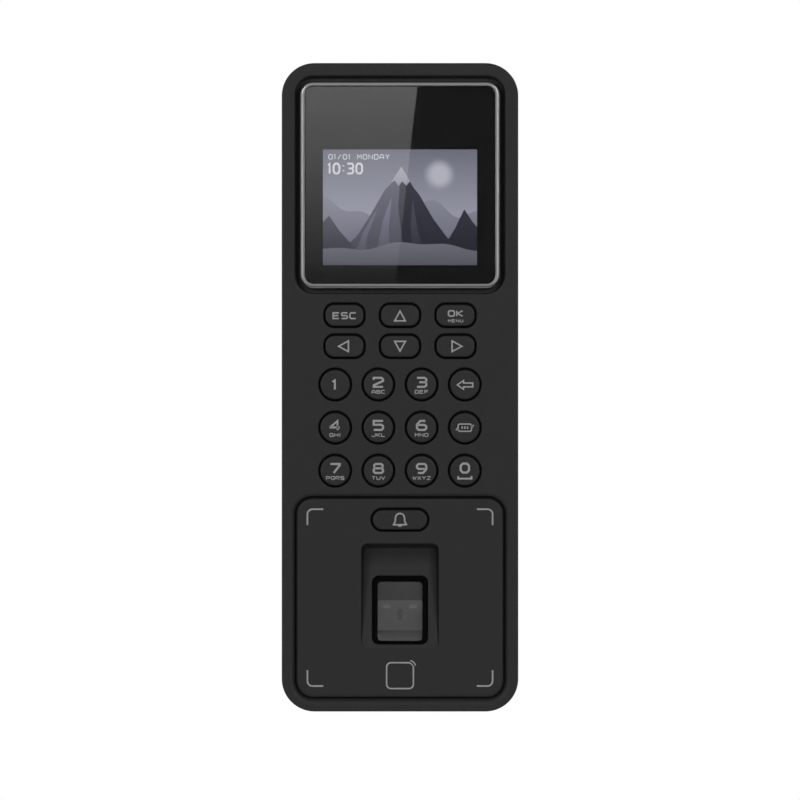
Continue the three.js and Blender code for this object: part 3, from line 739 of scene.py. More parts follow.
def legend(node, draw):
    """The print on one key; it rides with the key."""
    at = extent(node)
    skin = Skin()
    draw(skin, at.x, at.z, at.front)
    piece(node + "_legend", skin, PRINT, button(node), sharp=FINE_EDGE)


def digit_legend(digit, letters):
    def draw(skin, x, z, u):
        if letters:
            lettering(skin, digit, x, z + 0.72, DIGIT_SIZE, u)
            lettering(skin, letters, x, z - 2.3, GROUP_SIZE, u)
        else:
            lettering(skin, digit, x - 0.1, z - 0.1, DIGIT_SIZE, u)
    return draw


def zero_legend(skin, x, z, u):
    """The zero over a bracket that stands for a space."""
    lettering(skin, "0", x, z + 0.85, ZERO_SIZE, u)
    ribbon(skin, [(x - 2.1, z - 1.7), (x - 2.1, z - 2.5), (x + 2.1, z - 2.5), (x + 2.1, z - 1.7)], 0.55, u)


def escape_legend(skin, x, z, u):
    lettering(skin, "ESC", x, z - 0.1, ESCAPE_SIZE, u)


def enter_legend(skin, x, z, u):
    lettering(skin, "OK", x, z + 0.6, ENTER_SIZE, u)
    lettering(skin, "MENU", x, z - 1.75, MENU_SIZE, u)


def arrow_legend(turn, dx=0.0, dz=0.0):
    def draw(skin, x, z, u):
        ribbon(skin, triangle(x + dx, z + dz, 3.4, 3.1, turn), 0.5, u)
    return draw


def backspace_legend(skin, x, z, u):
    ribbon(skin, [
        (x - 2.4, z - 0.1), (x - 0.4, z + 1.3), (x - 0.4, z + 0.5), (x + 2.5, z + 0.5),
        (x + 2.5, z - 0.7), (x - 0.4, z - 0.7), (x - 0.4, z - 1.5), (x - 2.4, z - 0.1),
    ], 0.44, u)


def input_mode_legend(skin, x, z, u):
    """Two arrows that chase each other round a small line of text."""
    hook = [(-2.1, -0.45), (-2.1, 0.8), (-1.75, 1.15), (1.75, 1.15), (2.1, 0.8), (2.1, 0.3)]
    for turn in (1, -1):
        ribbon(skin, [(x + turn * a, z + turn * b) for a, b in hook], 0.38, u)
        ribbon(skin, triangle(x + turn * 2.35, z + turn * 0.35, 0.9, 0.75, 2 if turn > 0 else 0), 0.3, u)
    for i in (-1, 0, 1):
        ribbon(skin, [(x + 0.85 * i, z - 0.4), (x + 0.85 * i, z + 0.4)], 0.45, u)


def bell_legend(skin, x, z, u):
    """A bell: its dome and flare in one line, its rim and its clapper."""
    dome_r, dome_z = 1.42, 0.6
    turns = [math.pi * i / 12 for i in range(13)]
    dome = [(dome_r * math.cos(a), dome_z + dome_r * math.sin(a)) for a in turns]
    flare = [(1.95, -1.35), (1.5, -0.55)]
    bell = [*flare, *dome, *[(-a, b) for a, b in flare[::-1]]]
    ribbon(skin, [(x + a, z + b) for a, b in bell], 0.48, u)
    ribbon(skin, [(x - 2.3, z - 1.55), (x + 2.3, z - 1.55)], 0.5, u)
    ribbon(skin, [(x - 0.55, z - 1.98), (x + 0.55, z - 1.98)], 0.42, u)


LEGENDS = {
    "escape_key": escape_legend, "enter_key": enter_legend, "doorbell_key": bell_legend,
    "up_key": arrow_legend(0, 0, -0.2), "left_key": arrow_legend(1, -0.3),
    "down_key": arrow_legend(2), "right_key": arrow_legend(3, 0.45),
    "backspace_key": backspace_legend, "input_mode_key": input_mode_legend, "digit_0_key": zero_legend,
}
LETTERS = ["", "ABC", "DEF", "GHI", "JKL", "MNO", "PQRS", "TUV", "WXYZ"]
for number, group in enumerate(LETTERS, 1):
    LEGENDS[f"digit_{number}_key"] = digit_legend(str(number), group)


def reader_marks():
    """Corner brackets and the card mark, printed on the reader panel."""
    skin = Skin()
    top, bottom, side = -38.4, -94.95, 29.6
    arm, line, bend_r = 5.0, 0.5, 1.6
    turns = [QUARTER * i / 6 for i in range(7)]
    for sx in (-1, 1):
        for edge, sz in ((top, 1), (bottom, -1)):
            x, z = sx * (side - line / 2), edge - sz * line / 2
            bend = [(x - sx * bend_r * (1 - math.sin(a)), z - sz * bend_r * (1 - math.cos(a))) for a in turns]
            ribbon(skin, [(x - sx * arm, z), *bend, (x, z - sz * arm)], line, FACE_U)
    card_z = -91.4
    card = rounded(8.5, 8.2, 1.4, 0, card_z, 6)(0)
    ribbon(skin, [*card[5:], *card[:2]], 0.45, FACE_U)
    wave_x, wave_z = 3.0, card_z + 2.9
    waves = [QUARTER * (0.1 + 0.8 * i / 6) for i in range(7)]
    for r in (1.0, 1.9):
        ribbon(skin, [(wave_x + r * math.cos(a), wave_z + r * math.sin(a)) for a in waves], 0.36, FACE_U)
    piece("reader_panel_print", skin, PRINT, sharp=FINE_EDGE)


# ---------- display ----------
def screen_trim():
    """The plated ring round the display glass: its section is closed, with a softly rounded top."""
    top = TRIM.front
    inner = -TRIM_RIM
    outline = rounded(TRIM.w, TRIM.h, TRIM_CORNER, TRIM.x, TRIM.z, 14)
    profile = [
        (inner, TRIM.back), (0, TRIM.back), (0, top - 0.9), *rise(0, top - 0.9, -0.9, top, 7),
        (inner + 0.12, top), *roll(inner + 0.12, top, inner, top - 0.12, 3), (inner, TRIM.back),
    ]
    skin = Skin()
    skin.sweep(outline, profile)
    piece("screen_trim_ring", skin, CHROME, replaces="screen_trim")


LENS_OUTLINE = rounded(LENS.w, LENS.h, TRIM_CORNER - TRIM_RIM - 0.1, LENS.x, LENS.z, 14)


def screen_lens():
    """The cover glass, with a pencil edge."""
    skin = Skin()
    bevel, edge = 0.15, 0.12
    skin.solid(LENS_OUTLINE, [
        (-bevel, LENS.back), (0, LENS.back + bevel), (0, LENS.front - edge),
        *rise(0, LENS.front - edge, -edge, LENS.front, 4),
    ])
    piece("screen_cover_glass", skin, GLASS, replaces="screen_lens")


def lens_mask():
    """Black ink on the back of the glass, open over the picture."""
    near, far = LENS.back - 0.01, LENS.back - 0.04
    skin = Skin()
    border = skin.sweep(LENS_OUTLINE, [(-0.1, near), (-0.1, far)])
    window = skin.sweep(rounded(PICTURE_W, PICTURE_H, 0.3, 0, DISPLAY.z, 3), [(0, near), (0, far)])
    for outer, hole in zip(border, window):
        skin.cap(outer, hole)
    piece("screen_border_print", skin, MASK)


# ---------- finger scoop ----------
FOOT_Z = FOOT_START + FOOT_RADIUS * math.sin(TILT)
FOOT_U = FACE_U - SCOOP_SLOPE * (FOOT_START - SCOOP_END) + FOOT_RADIUS * math.cos(TILT)
SCOOP_RIM = rounded(SCOOP_W, SCOOP_TOP - SCOOP_END, SCOOP_CORNER, 0, (SCOOP_TOP + SCOOP_END) / 2, 10, 24)
SENSOR_OPENING = rounded(17.6, 22.0, 2.1, 0, 0, 10, 24)
THROAT_DEPTH = 3.0
SIDE_LEAN = 0.11
FOOT_INSET = 0.28
# How far in and how far down each ring of the scoop's wall lies, as shares of the whole.
WALL_STEPS = [
    (0.0, 0.05), (0.10, 0.16), (0.24, 0.32), (0.40, 0.50),
    (0.56, 0.68), (0.72, 0.83), (0.86, 0.94), (1.0, 1.0),
]
FLOOR_STEPS = 18


def floor_depth(z):
    """Depth of the scoop's floor under the face: a slant that curves up at its foot."""
    if z < FOOT_START:
        return SCOOP_SLOPE * (z - SCOOP_END)
    return FACE_U - FOOT_U + math.sqrt(FOOT_RADIUS ** 2 - (z - FOOT_Z) ** 2)


SENSOR_U = FACE_U - floor_depth(SENSOR_Z)


def slanted(x, s, n):
    """A point given along the scoop's floor from the sensor's centre, and out from the floor."""
    return (
        x, SENSOR_Z + s * math.cos(TILT) + n * math.sin(TILT),
        SENSOR_U - s * math.sin(TILT) + n * math.cos(TILT),
    )


SENSOR_PLACE = (
    Matrix.Translation((0, -SENSOR_U * MM, SENSOR_Z * MM)) @ Matrix.Rotation(-TILT, 4, "X")
)


def scoop_ring(skin, grow, inward, deep):
    """A ring between the scoop's rim and the foot of its walls, as shares of the way in and down."""
    foot_top = SCOOP_TOP - SCOOP_LEAN
    sink = (foot_top - SCOOP_END) / (SCOOP_TOP - SCOOP_END)
    points = []
    for x, z in SCOOP_RIM(grow):
        foot_z = SCOOP_END + (z - SCOOP_END) * sink
        depth = max(floor_depth(min(foot_z, foot_top)), 0)
        foot_x = x * (SCOOP_W / 2 - SIDE_LEAN * depth - FOOT_INSET) / (SCOOP_W / 2)
        points.append((x + (foot_x - x) * inward, z + (foot_z - z) * inward, FACE_U - depth * deep))
    return skin.loop(points)


def scoop(skin):
    """The finger scoop's walls and floor, down into the sensor's opening; returns its rim and last ring."""
    rings = [scoop_ring(skin, 0.45, 0, 0)]
    rings += [scoop_ring(skin, 0.28 * (1 - math.sin(QUARTER * i / 4)), 0, 0) for i in range(4)]
    rings += [scoop_ring(skin, 0, inward, deep) for inward, deep in WALL_STEPS]
    foot = [skin.points[i] for i in rings[-1]]
    bevel = 0.35
    edge = [slanted(x, s, 0) for x, s in SENSOR_OPENING(bevel)]
    for k in range(1, FLOOR_STEPS + 1):
        t = k / FLOOR_STEPS
        spread = []
        for (x0, z0, _), (x1, z1, _) in zip(foot, edge):
            z = z0 + (z1 - z0) * t
            spread.append((x0 + (x1 - x0) * t, z, FACE_U - max(floor_depth(z), 0)))
        rings.append(skin.loop(spread))
    for grow, n in [*roll(bevel, 0, 0, -bevel, 4)[1:], (0, -THROAT_DEPTH)]:
        rings.append(skin.loop([slanted(x, s, n) for x, s in SENSOR_OPENING(grow)]))
    skin.walls(rings)
    return rings[0], rings[-1]


def reader_panel():
    """The panel with its finger scoop; the scoop's tub hangs behind it, open to the sensor."""
    skin = Skin()
    outline = rounded(PANEL.w, PANEL.h, PANEL_CORNER, 0, PANEL.z, 16)
    face, back = skin.sweep(outline, [
        (-PANEL_EDGE - 0.3, FACE_U), *roll(-PANEL_EDGE, FACE_U, 0, FACE_U - PANEL_EDGE_DROP, 7),
        (0, PANEL_BACK),
    ])
    bell_hole = skin.sweep(key_outline("doorbell_key"), key_hole(0.35, PANEL_BACK))
    rim, throat = scoop(skin)
    skin.cap(face, bell_hole[0], rim)
    wall, margin = 1.7, 1.5
    tub_top = SCOOP_TOP + 1.2
    tub_outline = rounded(
        SCOOP_W + 2 * margin, tub_top - SCOOP_END, 3.0, 0, (tub_top + SCOOP_END) / 2, 10, 24)(0)
    under = skin.loop([slanted(x, s, -THROAT_DEPTH) for x, s in SENSOR_OPENING(margin)])
    tub = skin.loop([
        (x, z, min(FACE_U - max(floor_depth(z), 0) - wall, PANEL_BACK - 0.01)) for x, z in tub_outline
    ])
    brim = skin.ring(tub_outline, PANEL_BACK)
    skin.walls([throat, under, tub, brim])
    skin.cap(back, bell_hole[1], brim)
    piece("reader_panel_shell", skin, PANEL_ABS, replaces="reader_panel", sharp=40)


# ---------- optical sensor ----------
def rounded_slab(n0, n1, edge):
    """A profile from the back n0 to the front n1, with both edges rolled."""
    return [*roll(-edge, n0, 0, n0 + edge, 3), *rise(0, n1 - edge, -edge, n1, 4)]


SENSOR_DROP = -0.4
TRAY_OUTLINE = rounded(14.2, 19.1, 1.1, 0, SENSOR_DROP, 8)
# The flat pieces behind the seal: name, outline, profile, finish, node replaced and slot.
SENSOR_STACK = [
    ("glass", rounded(14.4, 19.3, 1.2, 0, SENSOR_DROP, 10), rounded_slab(-1.2, -0.25, 0.15),
     PRISM, "sensor_prism", "prism_glass"),
    ("light_tray", TRAY_OUTLINE, rounded_slab(-6.2, -1.34, 0.15),
     TRAY, "sensor_diffuser", "diffuser_plastic"),
    ("light_window", rounded(14.1, 9.7, 0.3, 0, -1.6, 4), rounded_slab(-1.33, -1.28, 0.02),
     WINDOW, (), "diffuser_plastic"),
    ("lamp_left", rounded(2.6, 1.2, 0.58, -4.2, 1.3, 6), rounded_slab(-1.28, -1.24, 0.02),
     LAMP, (), "diffuser_plastic"),
    ("lamp_right", rounded(2.6, 1.2, 0.58, 4.2, 1.3, 6), rounded_slab(-1.28, -1.24, 0.02),
     LAMP, (), "diffuser_plastic"),
    ("camera_window", rounded(1.6, 3.6, 0.75, 0, -1.4, 6), rounded_slab(-1.28, -1.24, 0.02),
     SMOKED, (), "inner_plastic"),
]


def finger_sensor():
    """The finger glass over its light tray, in a deep black foam seal whose lip laps over the glass and fills
    the gap round it, so that its black is also painted shade for that gap.
    """
    seal = Skin()
    first, last = seal.sweep(rounded(17.4, 21.8, 2.0, 0, 0, 8), [
        (0, -THROAT_DEPTH), (0, -0.7), *rise(0, -0.7, -0.2, -0.5, 3)])
    # The lip fills the gap round the glass: its black is the seal's own colour and also stands in as painted
    # shade for the gap.
    back, lip = seal.sweep(TRAY_OUTLINE, [(0.4, -THROAT_DEPTH), (0.4, -1.1), (0.0, -0.22), (0.25, -0.2)])
    seal.cap(first, back)
    seal.cap(last, lip)
    piece("sensor_foam_seal", seal, FOAM, replaces="sensor_gasket", place=SENSOR_PLACE)
    for name, outline, profile, material, node, slot in SENSOR_STACK:
        skin = Skin()
        skin.solid(outline, profile)
        piece("sensor_" + name, skin, material, replaces=node, place=SENSOR_PLACE)


# ---------- rear cover ----------
COVER = extent("rear_cover")
RECESS_U, COVER_INNER_U = 3.0, 5.2
RECESS = rounded(55, 188, 7, 0, -1.5, 14)
WIRING_Z = 26
WIRING = rounded(50, 44, 2, 0, WIRING_Z, 8)
DUCT_U = 10.6
DUCT_WALL = 1.5
SPEAKER_SLOTS = [rounded(1.8, 14, 0.88, x, -62, 8) for x in (-8, -4, 0, 4, 8)]
HOOK_X = 18
HOOK_SLOTS = [rounded(11.2, 5.6, 0.5, x, 73, 4) for x in (-HOOK_X, HOOK_X)]
LOCK_SLOT = rounded(16, 3.8, 0.5, 0, -90.5, 4)
TAMPER = extent("tamper_plunger")
LOCK = extent("lock_screw")
LOCK_U = (LOCK.back + LOCK.front) / 2
USB = extent("usb_socket")
USB_U = (USB.back + USB.front) / 2
ALONG_Z = Matrix.Rotation(-QUARTER, 4, "X")


def rolled_hole(edge, mouth_u, far_u, steps, lead):
    """The profile of a hole from mouth_u through to far_u; its mouth is rolled, with a flat lead outside."""
    return [(edge + lead, mouth_u), *roll(edge, mouth_u, 0, mouth_u + edge, steps), (0, far_u)]


def carve(obj, cuts):
    """Cuts upright holes into a piece; each cut is an outline in x and -u with a profile along z."""
    obj.modifiers.clear()
    cutters = []
    for outline, profile in cuts:
        skin = Skin()
        skin.solid(outline, profile)
        mesh = bpy.data.meshes.new("cutter")
        mesh.from_pydata([(x * MM, -u * MM, z * MM) for x, z, u in skin.points], [], skin.faces)
        mesh.transform(ALONG_Z)
        bm = bmesh.new()
        bm.from_mesh(mesh)
        bmesh.ops.recalc_face_normals(bm, faces=bm.faces)
        bm.to_mesh(mesh)
        bm.free()
        cutter = bpy.data.objects.new("cutter", mesh)
        bpy.context.scene.collection.objects.link(cutter)
        cutters.append(cutter)
        modifier = obj.modifiers.new("cut", "BOOLEAN")
        modifier.object = cutter
        modifier.operation = "DIFFERENCE"
        modifier.solver = "EXACT"
    graph = bpy.context.evaluated_depsgraph_get()
    obj.data = bpy.data.meshes.new_from_object(obj.evaluated_get(graph))
    obj.modifiers.clear()
    for cutter in cutters:
        bpy.data.objects.remove(cutter)
    obj.data.set_sharp_from_angle(angle=math.radians(CRISP_EDGE))
    weigh_normals(obj)


def lock_boss():
    """The tube inside the cover's foot that the lock screw passes through."""
    skin = Skin()
    first, last = skin.sweep(circle(3.5, 0, -LOCK_U, 40), [
        (0, -99.8), (0, -93.6), (-1.7, -93.6), (-1.7, -99.5), (-0.3, -99.8)])
    skin.wall(last, first)
    piece("rear_cover_lock_boss", skin, ABS, place=ALONG_Z)


def rear_cover():
    """The rear cover: a rim round the wall plate's recess, the recess floor with its openings, and sides."""
    skin = Skin()
    back, inner = COVER.back, COVER_INNER_U
    rim, inside = skin.sweep(rounded(COVER.w, COVER.h, CASE_CORNER - 0.7, 0, 0, 20), [
        (-1.5, back), *roll(-1.2, back, 0, back + 1.2, 6), (0, SPLIT_U - 0.3),
        *rise(0, SPLIT_U - 0.3, -0.3, SPLIT_U, 3), (-CASE_WALL, SPLIT_U), (-CASE_WALL, inner),
    ])
    lip, recess_floor = skin.sweep(RECESS, rolled_hole(0.35, back, RECESS_U, 4, 0.25))
    back_holes, floor_holes, inner_holes = [lip], [], []
    tamper_hole = circle(2.2, TAMPER.x, TAMPER.z, 32)
    for outline in [*SPEAKER_SLOTS, *HOOK_SLOTS, LOCK_SLOT, tamper_hole]:
        mouth, far = skin.sweep(outline, rolled_hole(0.12, RECESS_U, inner, 3, 0.03))
        floor_holes.append(mouth)
        inner_holes.append(far)
    mouth, far = skin.sweep(WIRING, rolled_hole(0.4, RECESS_U, DUCT_U, 4, 0.1))
    floor_holes.append(mouth)
    duct_foot, duct_end = skin.sweep(WIRING, [(DUCT_WALL, inner), (DUCT_WALL, DUCT_U)])
    skin.cap(duct_end, far)
    inner_holes.append(duct_foot)
    for name in CASE_SCREWS:
        at = extent(name)
        mouth, far = skin.sweep(circle(3, at.x, at.z, 40), [
            (0.5, back), *roll(0.35, back, 0, back + 0.35, 4), (0, 9.3), (-1.2, 9.3),
            (-1.2, SPLIT_U + 0.6), (0.1, SPLIT_U + 0.6), (0.1, inner),
        ])
        back_holes.append(mouth)
        inner_holes.append(far)
    skin.cap(rim, *back_holes)
    skin.cap(recess_floor, *floor_holes)
    skin.cap(inside, *inner_holes)
    shell = piece("rear_cover_shell", skin, ABS, replaces="rear_cover")
    foot, clear = COVER.z0, COVER.z0 - 1.2
    carve(shell, [
        (circle(3.2, 0, -LOCK_U, 40), [(0.4, clear), (0.4, foot), (0, foot + 0.4), (0, -99.4)]),
        (rounded(14.8, 5.2, 0.6, 0, -USB_U, 6),
         [(0.3, clear), (0.3, foot), (0, foot + 0.3), (0, foot + 1.15)]),
        (rounded(8.6, 3.2, 1.0, 0, -USB_U, 6), [(0, clear), (0, foot + 4)]),
    ])
    lock_boss()


# ---------- wall plate ----------
PLATE = extent("wall_plate")
PLATE_THICK = 1.5
PLATE_OPENINGS = [
    *[rounded(4.5, 9, 2.2, x, z, 10) for x, z in ((-18, 62), (18, 62), (-18, -52), (18, -52))],
    rounded(45, 36, 1.5, 0, WIRING_Z, 6), rounded(24, 18, 3, 0, -62, 8), circle(2.4, TAMPER.x, TAMPER.z, 32),
    circle(2.2, 0, 66, 32), circle(2.2, 0, -36, 32),
]
HOOK_SECTION = [(74, 1.4), (75.5, 1.4), (75.5, 5.6), (79, 5.6), (79, 7.1), (74.8, 7.1), (74, 6.3)]
HOOK_HALF = 4.6


def prism(skin, section, x0, x1):
    """A bar along x from a closed run of (z, u) points."""
    ends = [skin.loop([(x, z, u) for z, u in section]) for x in (x0, x1)]
    skin.wall(*ends)
    for end in ends:
        skin.faces.append(tuple(end))


def bevelled(obj, width_mm, segments=2):
    """Rounds a piece's edges, before its shading is weighted."""
    bevel = obj.modifiers.new("edge", "BEVEL")
    bevel.width = width_mm * MM
    bevel.segments = segments
    bevel.limit_method = "ANGLE"
    obj.modifiers.move(len(obj.modifiers) - 1, 0)


def wall_plate():
    """The pressed wall plate, its two hooks and the foot that takes the lock screw."""
    skin = Skin()
    thick = PLATE_THICK
    first, last = skin.sweep(rounded(PLATE.w, PLATE.h, 6, 0, PLATE.z, 14), [
        (-0.3, 0), *roll(-0.2, 0, 0, 0.2, 3), *rise(0, thick - 0.2, -0.2, thick, 3), (-0.3, thick)])
    hole_edge = [
        (0.25, 0), *roll(0.15, 0, 0, 0.15, 2), *rise(0, thick - 0.15, 0.15, thick, 2), (0.25, thick),
    ]
    rings = [skin.sweep(outline, hole_edge) for outline in PLATE_OPENINGS]
    skin.cap(first, *[ring[0] for ring in rings])
    skin.cap(last, *[ring[1] for ring in rings])
    piece("wall_plate_sheet", skin, ZINC, replaces="wall_plate")
    hooks = Skin()
    for x in (-HOOK_X, HOOK_X):
        prism(hooks, HOOK_SECTION, x - HOOK_HALF, x + HOOK_HALF)
    bevelled(piece("wall_plate_hooks", hooks, ZINC), 0.2)
    foot = Skin()
    sheet = [(0, PLATE.z0), (0, PLATE.z0 + thick)]
    edges = foot.sweep(rounded(14, 8.7, 0.6, 0, -5.8, 4), sheet)
    bores = foot.sweep(circle(1.7, 0, -LOCK_U, 32), sheet)
    for edge, bore in zip(edges, bores):
        foot.cap(edge, bore)
    piece("wall_plate_foot", foot, ZINC, place=ALONG_Z)


# ---------- screws ----------
def cross(r, w, x, z):
    """Returns outline(grow): a cross recess of arm length r and width w."""
    def outline(grow=0.0):
        a, b = r + grow, w / 2 + grow
        arms = [
            (a, b), (b, b), (b, a), (-b, a), (-b, b), (-a, b),
            (-a, -b), (-b, -b), (-b, -a), (b, -a), (b, -b), (a, -b),
        ]
        return [(x + p, z + q) for p, q in arms]
    return outline


def screw(name, node, head_u, head_r, head_deep, end_u, x, z, pitch, place=None):
    """A pan-head screw from its head to its tip, with a cross recess and a turned thread."""
    shank_r, thread_deep = 1.5, 0.25
    root_r = shank_r - thread_deep
    shank_u = head_u + head_deep
    profile = [
        (head_r * 0.55, head_u), *roll(head_r * 0.62, head_u + 0.02, head_r, head_u + 0.9, 6),
        (head_r, shank_u), (shank_r, shank_u + 0.1),
    ]
    u = shank_u + 0.8
    while u < end_u - pitch:
        profile += [(root_r, u), (shank_r, u + pitch * 0.35), (shank_r, u + pitch * 0.5)]
        u += pitch
    profile += [(root_r, end_u - 0.4), (0.3, end_u)]
    skin = Skin()
    first, last = skin.sweep(circle(0, x, z, 32), profile)
    mouth, sunk = skin.sweep(cross(head_r * 0.5, head_r * 0.24, x, z), [(0, head_u), (-0.1, head_u + 0.9)])
    skin.cap(first, mouth)
    skin.cap(sunk)
    skin.cap(last)
    piece(name, skin, NICKEL, replaces=node, place=place)


def screws():
    for number, node in enumerate(CASE_SCREWS, 1):
        at = extent(node)
        screw(f"case_screw_{number}_threaded", node, at.back, 2.7, 2.4, at.front, at.x, at.z, 0.9)
    screw("lock_screw_threaded", "lock_screw", LOCK.z0, 2.75, 1.75, LOCK.z1, 0, -LOCK_U, 0.7, ALONG_Z)


# ---------- sockets behind the wiring window ----------
PIN_PITCH = 3.8
SOCKET_WALL = 1


def socket(node):
    """A row of plug mouths in a nylon housing, each with its pin."""
    at = extent(node)
    room = at.w - 2 * SOCKET_WALL
    mouths = round(room / PIN_PITCH)
    body, pins = Skin(), Skin()
    first, last = body.sweep(rounded(at.w, at.h, 0.5, at.x, at.z, 4), [
        (-0.3, at.back), *roll(-0.25, at.back, 0, at.back + 0.25, 3), (0, at.front)])
    holes = []
    for i in range(mouths):
        x = at.x0 + SOCKET_WALL + (i + 0.5) * room / mouths
        mouth, bottom = body.sweep(rounded(2.7, at.h - 2.6, 0.25, x, at.z, 3), [
            (0.15, at.back), (0, at.back + 0.15), (0, at.back + 4.2)])
        body.cap(bottom)
        holes.append(mouth)
        tip, _ = pins.sweep(rounded(0.7, 0.7, 0.12, x, at.z, 2), [
            (-0.22, at.back + 0.9), (0, at.back + 1.3), (0, at.back + 4.3)])
        pins.cap(tip)
    body.cap(first, *holes)
    body.cap(last)
    piece(node + "_housing", body, NYLON, replaces=node)
    piece(node + "_pins", pins, GOLD)


CHIPS = [(-10, 26, 8, 8), (3, 29, 5, 4), (3, 20.5, 4, 5)]
LEAD_PITCH = 0.9
RESISTORS = [
    (-19, 32), (-19, 29.6), (-19, 27.2), (-19, 22), (-17, 19), (-14.6, 19), (9, 31), (9, 28.6),
    (9, 22), (9, 19.6), (-3, 33), (-0.6, 33), (-4, 19), (-19, 34.4),
]


def board_parts():
    """The small parts on the main board's rear face, between the plug sockets."""
    face = extent("main_board").back
    chips, leads, resistors = Skin(), Skin(), Skin()
    for x, z, w, h in CHIPS:
        chips.solid(rounded(w, h, 0.3, x, z, 3), [(-0.2, face - 1.3), (0, face - 1.1), (0, face - 0.1)])
        count = int(w / LEAD_PITCH)
        for i in range(count):
            lead_x = x - w / 2 + (i + 0.5) * w / count
            for side in (-1, 1):
                leads.solid(rounded(0.4, 1.2, 0.08, lead_x, z + side * (h / 2 + 0.4), 2), [
                    (-0.05, face - 0.5), (0, face - 0.4), (0, face - 0.02)])
    for x, z in RESISTORS:
        resistors.solid(rounded(1.6, 0.85, 0.1, x, z, 2), [
            (-0.06, face - 0.6), (0, face - 0.5), (0, face - 0.02)])
    piece("main_board_chips", chips, BLACK)
    piece("main_board_solder_joints", leads, TINNED)
    piece("main_board_resistors", resistors, SILICONE)


# ---------- small rear pieces ----------
def speaker():
    """The driver's basket with its cone and rolled surround."""
    at = extent("speaker")
    u = at.back
    skin = Skin()
    skin.turn([
        (13.2, u), (14, u + 0.3), (14, u + 1.7), (10, u + 2.0), (10, at.front), (0.4, at.front),
    ], at.x, at.z)
    skin.turn([
        (0.4, u + 0.1), (2.6, u + 0.25), (4.0, u + 0.9), (11.4, u + 0.2), (12.2, u - 0.05), (13.0, u + 0.25),
        (13.2, u + 0.5), (0.4, u + 1.2),
    ], at.x, at.z)
    piece("speaker_driver", skin, BLACK, replaces="speaker")


def tamper_plunger():
    """The sprung pin that feels for the wall, with a domed tip and a collar."""
    tip, collar = TAMPER.back, TAMPER.back + 8.5
    skin = Skin()
    skin.turn([
        (0.3, tip), *roll(0.5, tip + 0.02, 1.5, tip + 0.8, 6), (1.5, collar), (2.0, collar),
        (2.0, TAMPER.front), (0.3, TAMPER.front),
    ], TAMPER.x, TAMPER.z, 40)
    piece("tamper_plunger_pin", skin, NYLON, "tamper_pin", replaces="tamper_plunger")


def usb_flap():
    """The rubber flap in its recess, with three finger grooves."""
    flap = extent("usb_cover")
    skin = Skin()
    first, last = skin.sweep(rounded(flap.w, 4.8, 0.5, flap.x, -USB_U, 6), [
        (-0.35, flap.z0), *roll(-0.3, flap.z0, 0, flap.z0 + 0.3, 3), (0, flap.z1)])
    mouths = []
    for dx in (4.2, 5.1, 6.0):
        mouth, bottom = skin.sweep(rounded(0.5, 2.4, 0.2, flap.x + dx, -USB_U, 4), [
            (0, flap.z0), (-0.1, flap.z0 + 0.25)])
        mouths.append(mouth)
        skin.cap(bottom)
    skin.cap(first, *mouths)
    skin.cap(last)
    piece("usb_cover_flap", skin, RUBBER, "usb_flap", replaces="usb_cover", place=ALONG_Z)


def usb_port():
    """The metal shell of the port and the tongue inside it."""
    shell = Skin()
    outer = rounded(USB.w, USB.front - USB.back, 1.1, 0, -USB_U, 6)
    metal = 0.3
    first, last = shell.sweep(outer, [(0, USB.z0), (0, USB.z1)])
    mouth, bottom = shell.sweep(outer, [(-metal, USB.z0), (-metal, USB.z1 - 2 * metal)])
    shell.cap(first, mouth)
    shell.cap(bottom)
    shell.cap(last)
    piece("usb_socket_shell", shell, NICKEL, replaces="usb_socket", place=ALONG_Z)
    tongue = Skin()
    tongue.solid(rounded(5.6, 0.7, 0.15, 0, -USB_U, 2), [
        (-0.1, USB.z0 + 0.6), (0, USB.z0 + 0.8), (0, USB.z1 - 0.7)])
    piece("usb_socket_tongue", tongue, BLACK, place=ALONG_Z)


INNER_FINISHES = {
    "case_seal": RUBBER, "lens_tape": RUBBER, "lcd_module": TINNED, "lcd_bracket": BLACK,
    "display_flex": FILM, "display_socket": NYLON, "keypad_mat": SILICONE, "key_board": BOARD,
    "antenna_board": BOARD, "sensor_housing": BLACK, "sensor_camera": BLACK, "sensor_board": BOARD,
    "main_board": BOARD, "processor_shield": TINNED, "clock_cell_holder": BLACK, "clock_cell": NICKEL,
    "buzzer": BLACK, "tamper_switch": BLACK,
}


def dress_inner_nodes():
    """Every CAD solid that still shows gets the finish of the real piece."""
    for node, material in INNER_FINISHES.items():
        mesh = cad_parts[node].data
        mesh.materials.clear()
        mesh.materials.append(material)


# ---------- picture ----------
def lit(name, low, high, z0, z1, sun=None):
    """A backlit patch whose colour runs from low at z0 to high at z1, round an optional sun."""
    def build(tree, shader):
        colour = graded(tree, low, high, z0, z1)
        if sun:
            x, z, radius, tone = sun
            where = add(tree, "TexCoord").outputs["Object"]
            centre = (x * MM, -DISPLAY.front * MM, z * MM)
            away = add(tree, "VectorMath", {0: where, 1: centre}, operation="DISTANCE").outputs["Value"]
            halo = add(tree, "MapRange", {
                "Value": away, "From Min": radius * 0.5 * MM, "From Max": radius * 2.0 * MM,
                "To Min": 1.0, "To Max": 0.0,
            }, interpolation_type="SMOOTHERSTEP")
            wash = add(tree, "Mix", {
                "Factor": halo.outputs["Result"], "A": colour, "B": linear(tone),
            }, data_type="RGBA")
            colour = wash.outputs["Result"]
        tree.links.new(colour, shader.inputs["Emission Color"])
    return finish_of("backlit_" + name, build, Base_Color=UNLIT, Roughness=0.4, Emission_Strength=1.0)


def ridge(x0, x1, z, waves, foot, steps=40):
    """A hill's outline: a skyline of waves of (height, length, phase) on a level line, over a flat foot."""
    line = [(x0, foot)]
    for i in range(steps + 1):
        x = x0 + (x1 - x0) * i / steps
        lift = sum(h * math.sin(2 * math.pi * x / length + phase) for h, length, phase in waves)
        line.append((x, z + lift))
    return [*line, (x1, foot)]


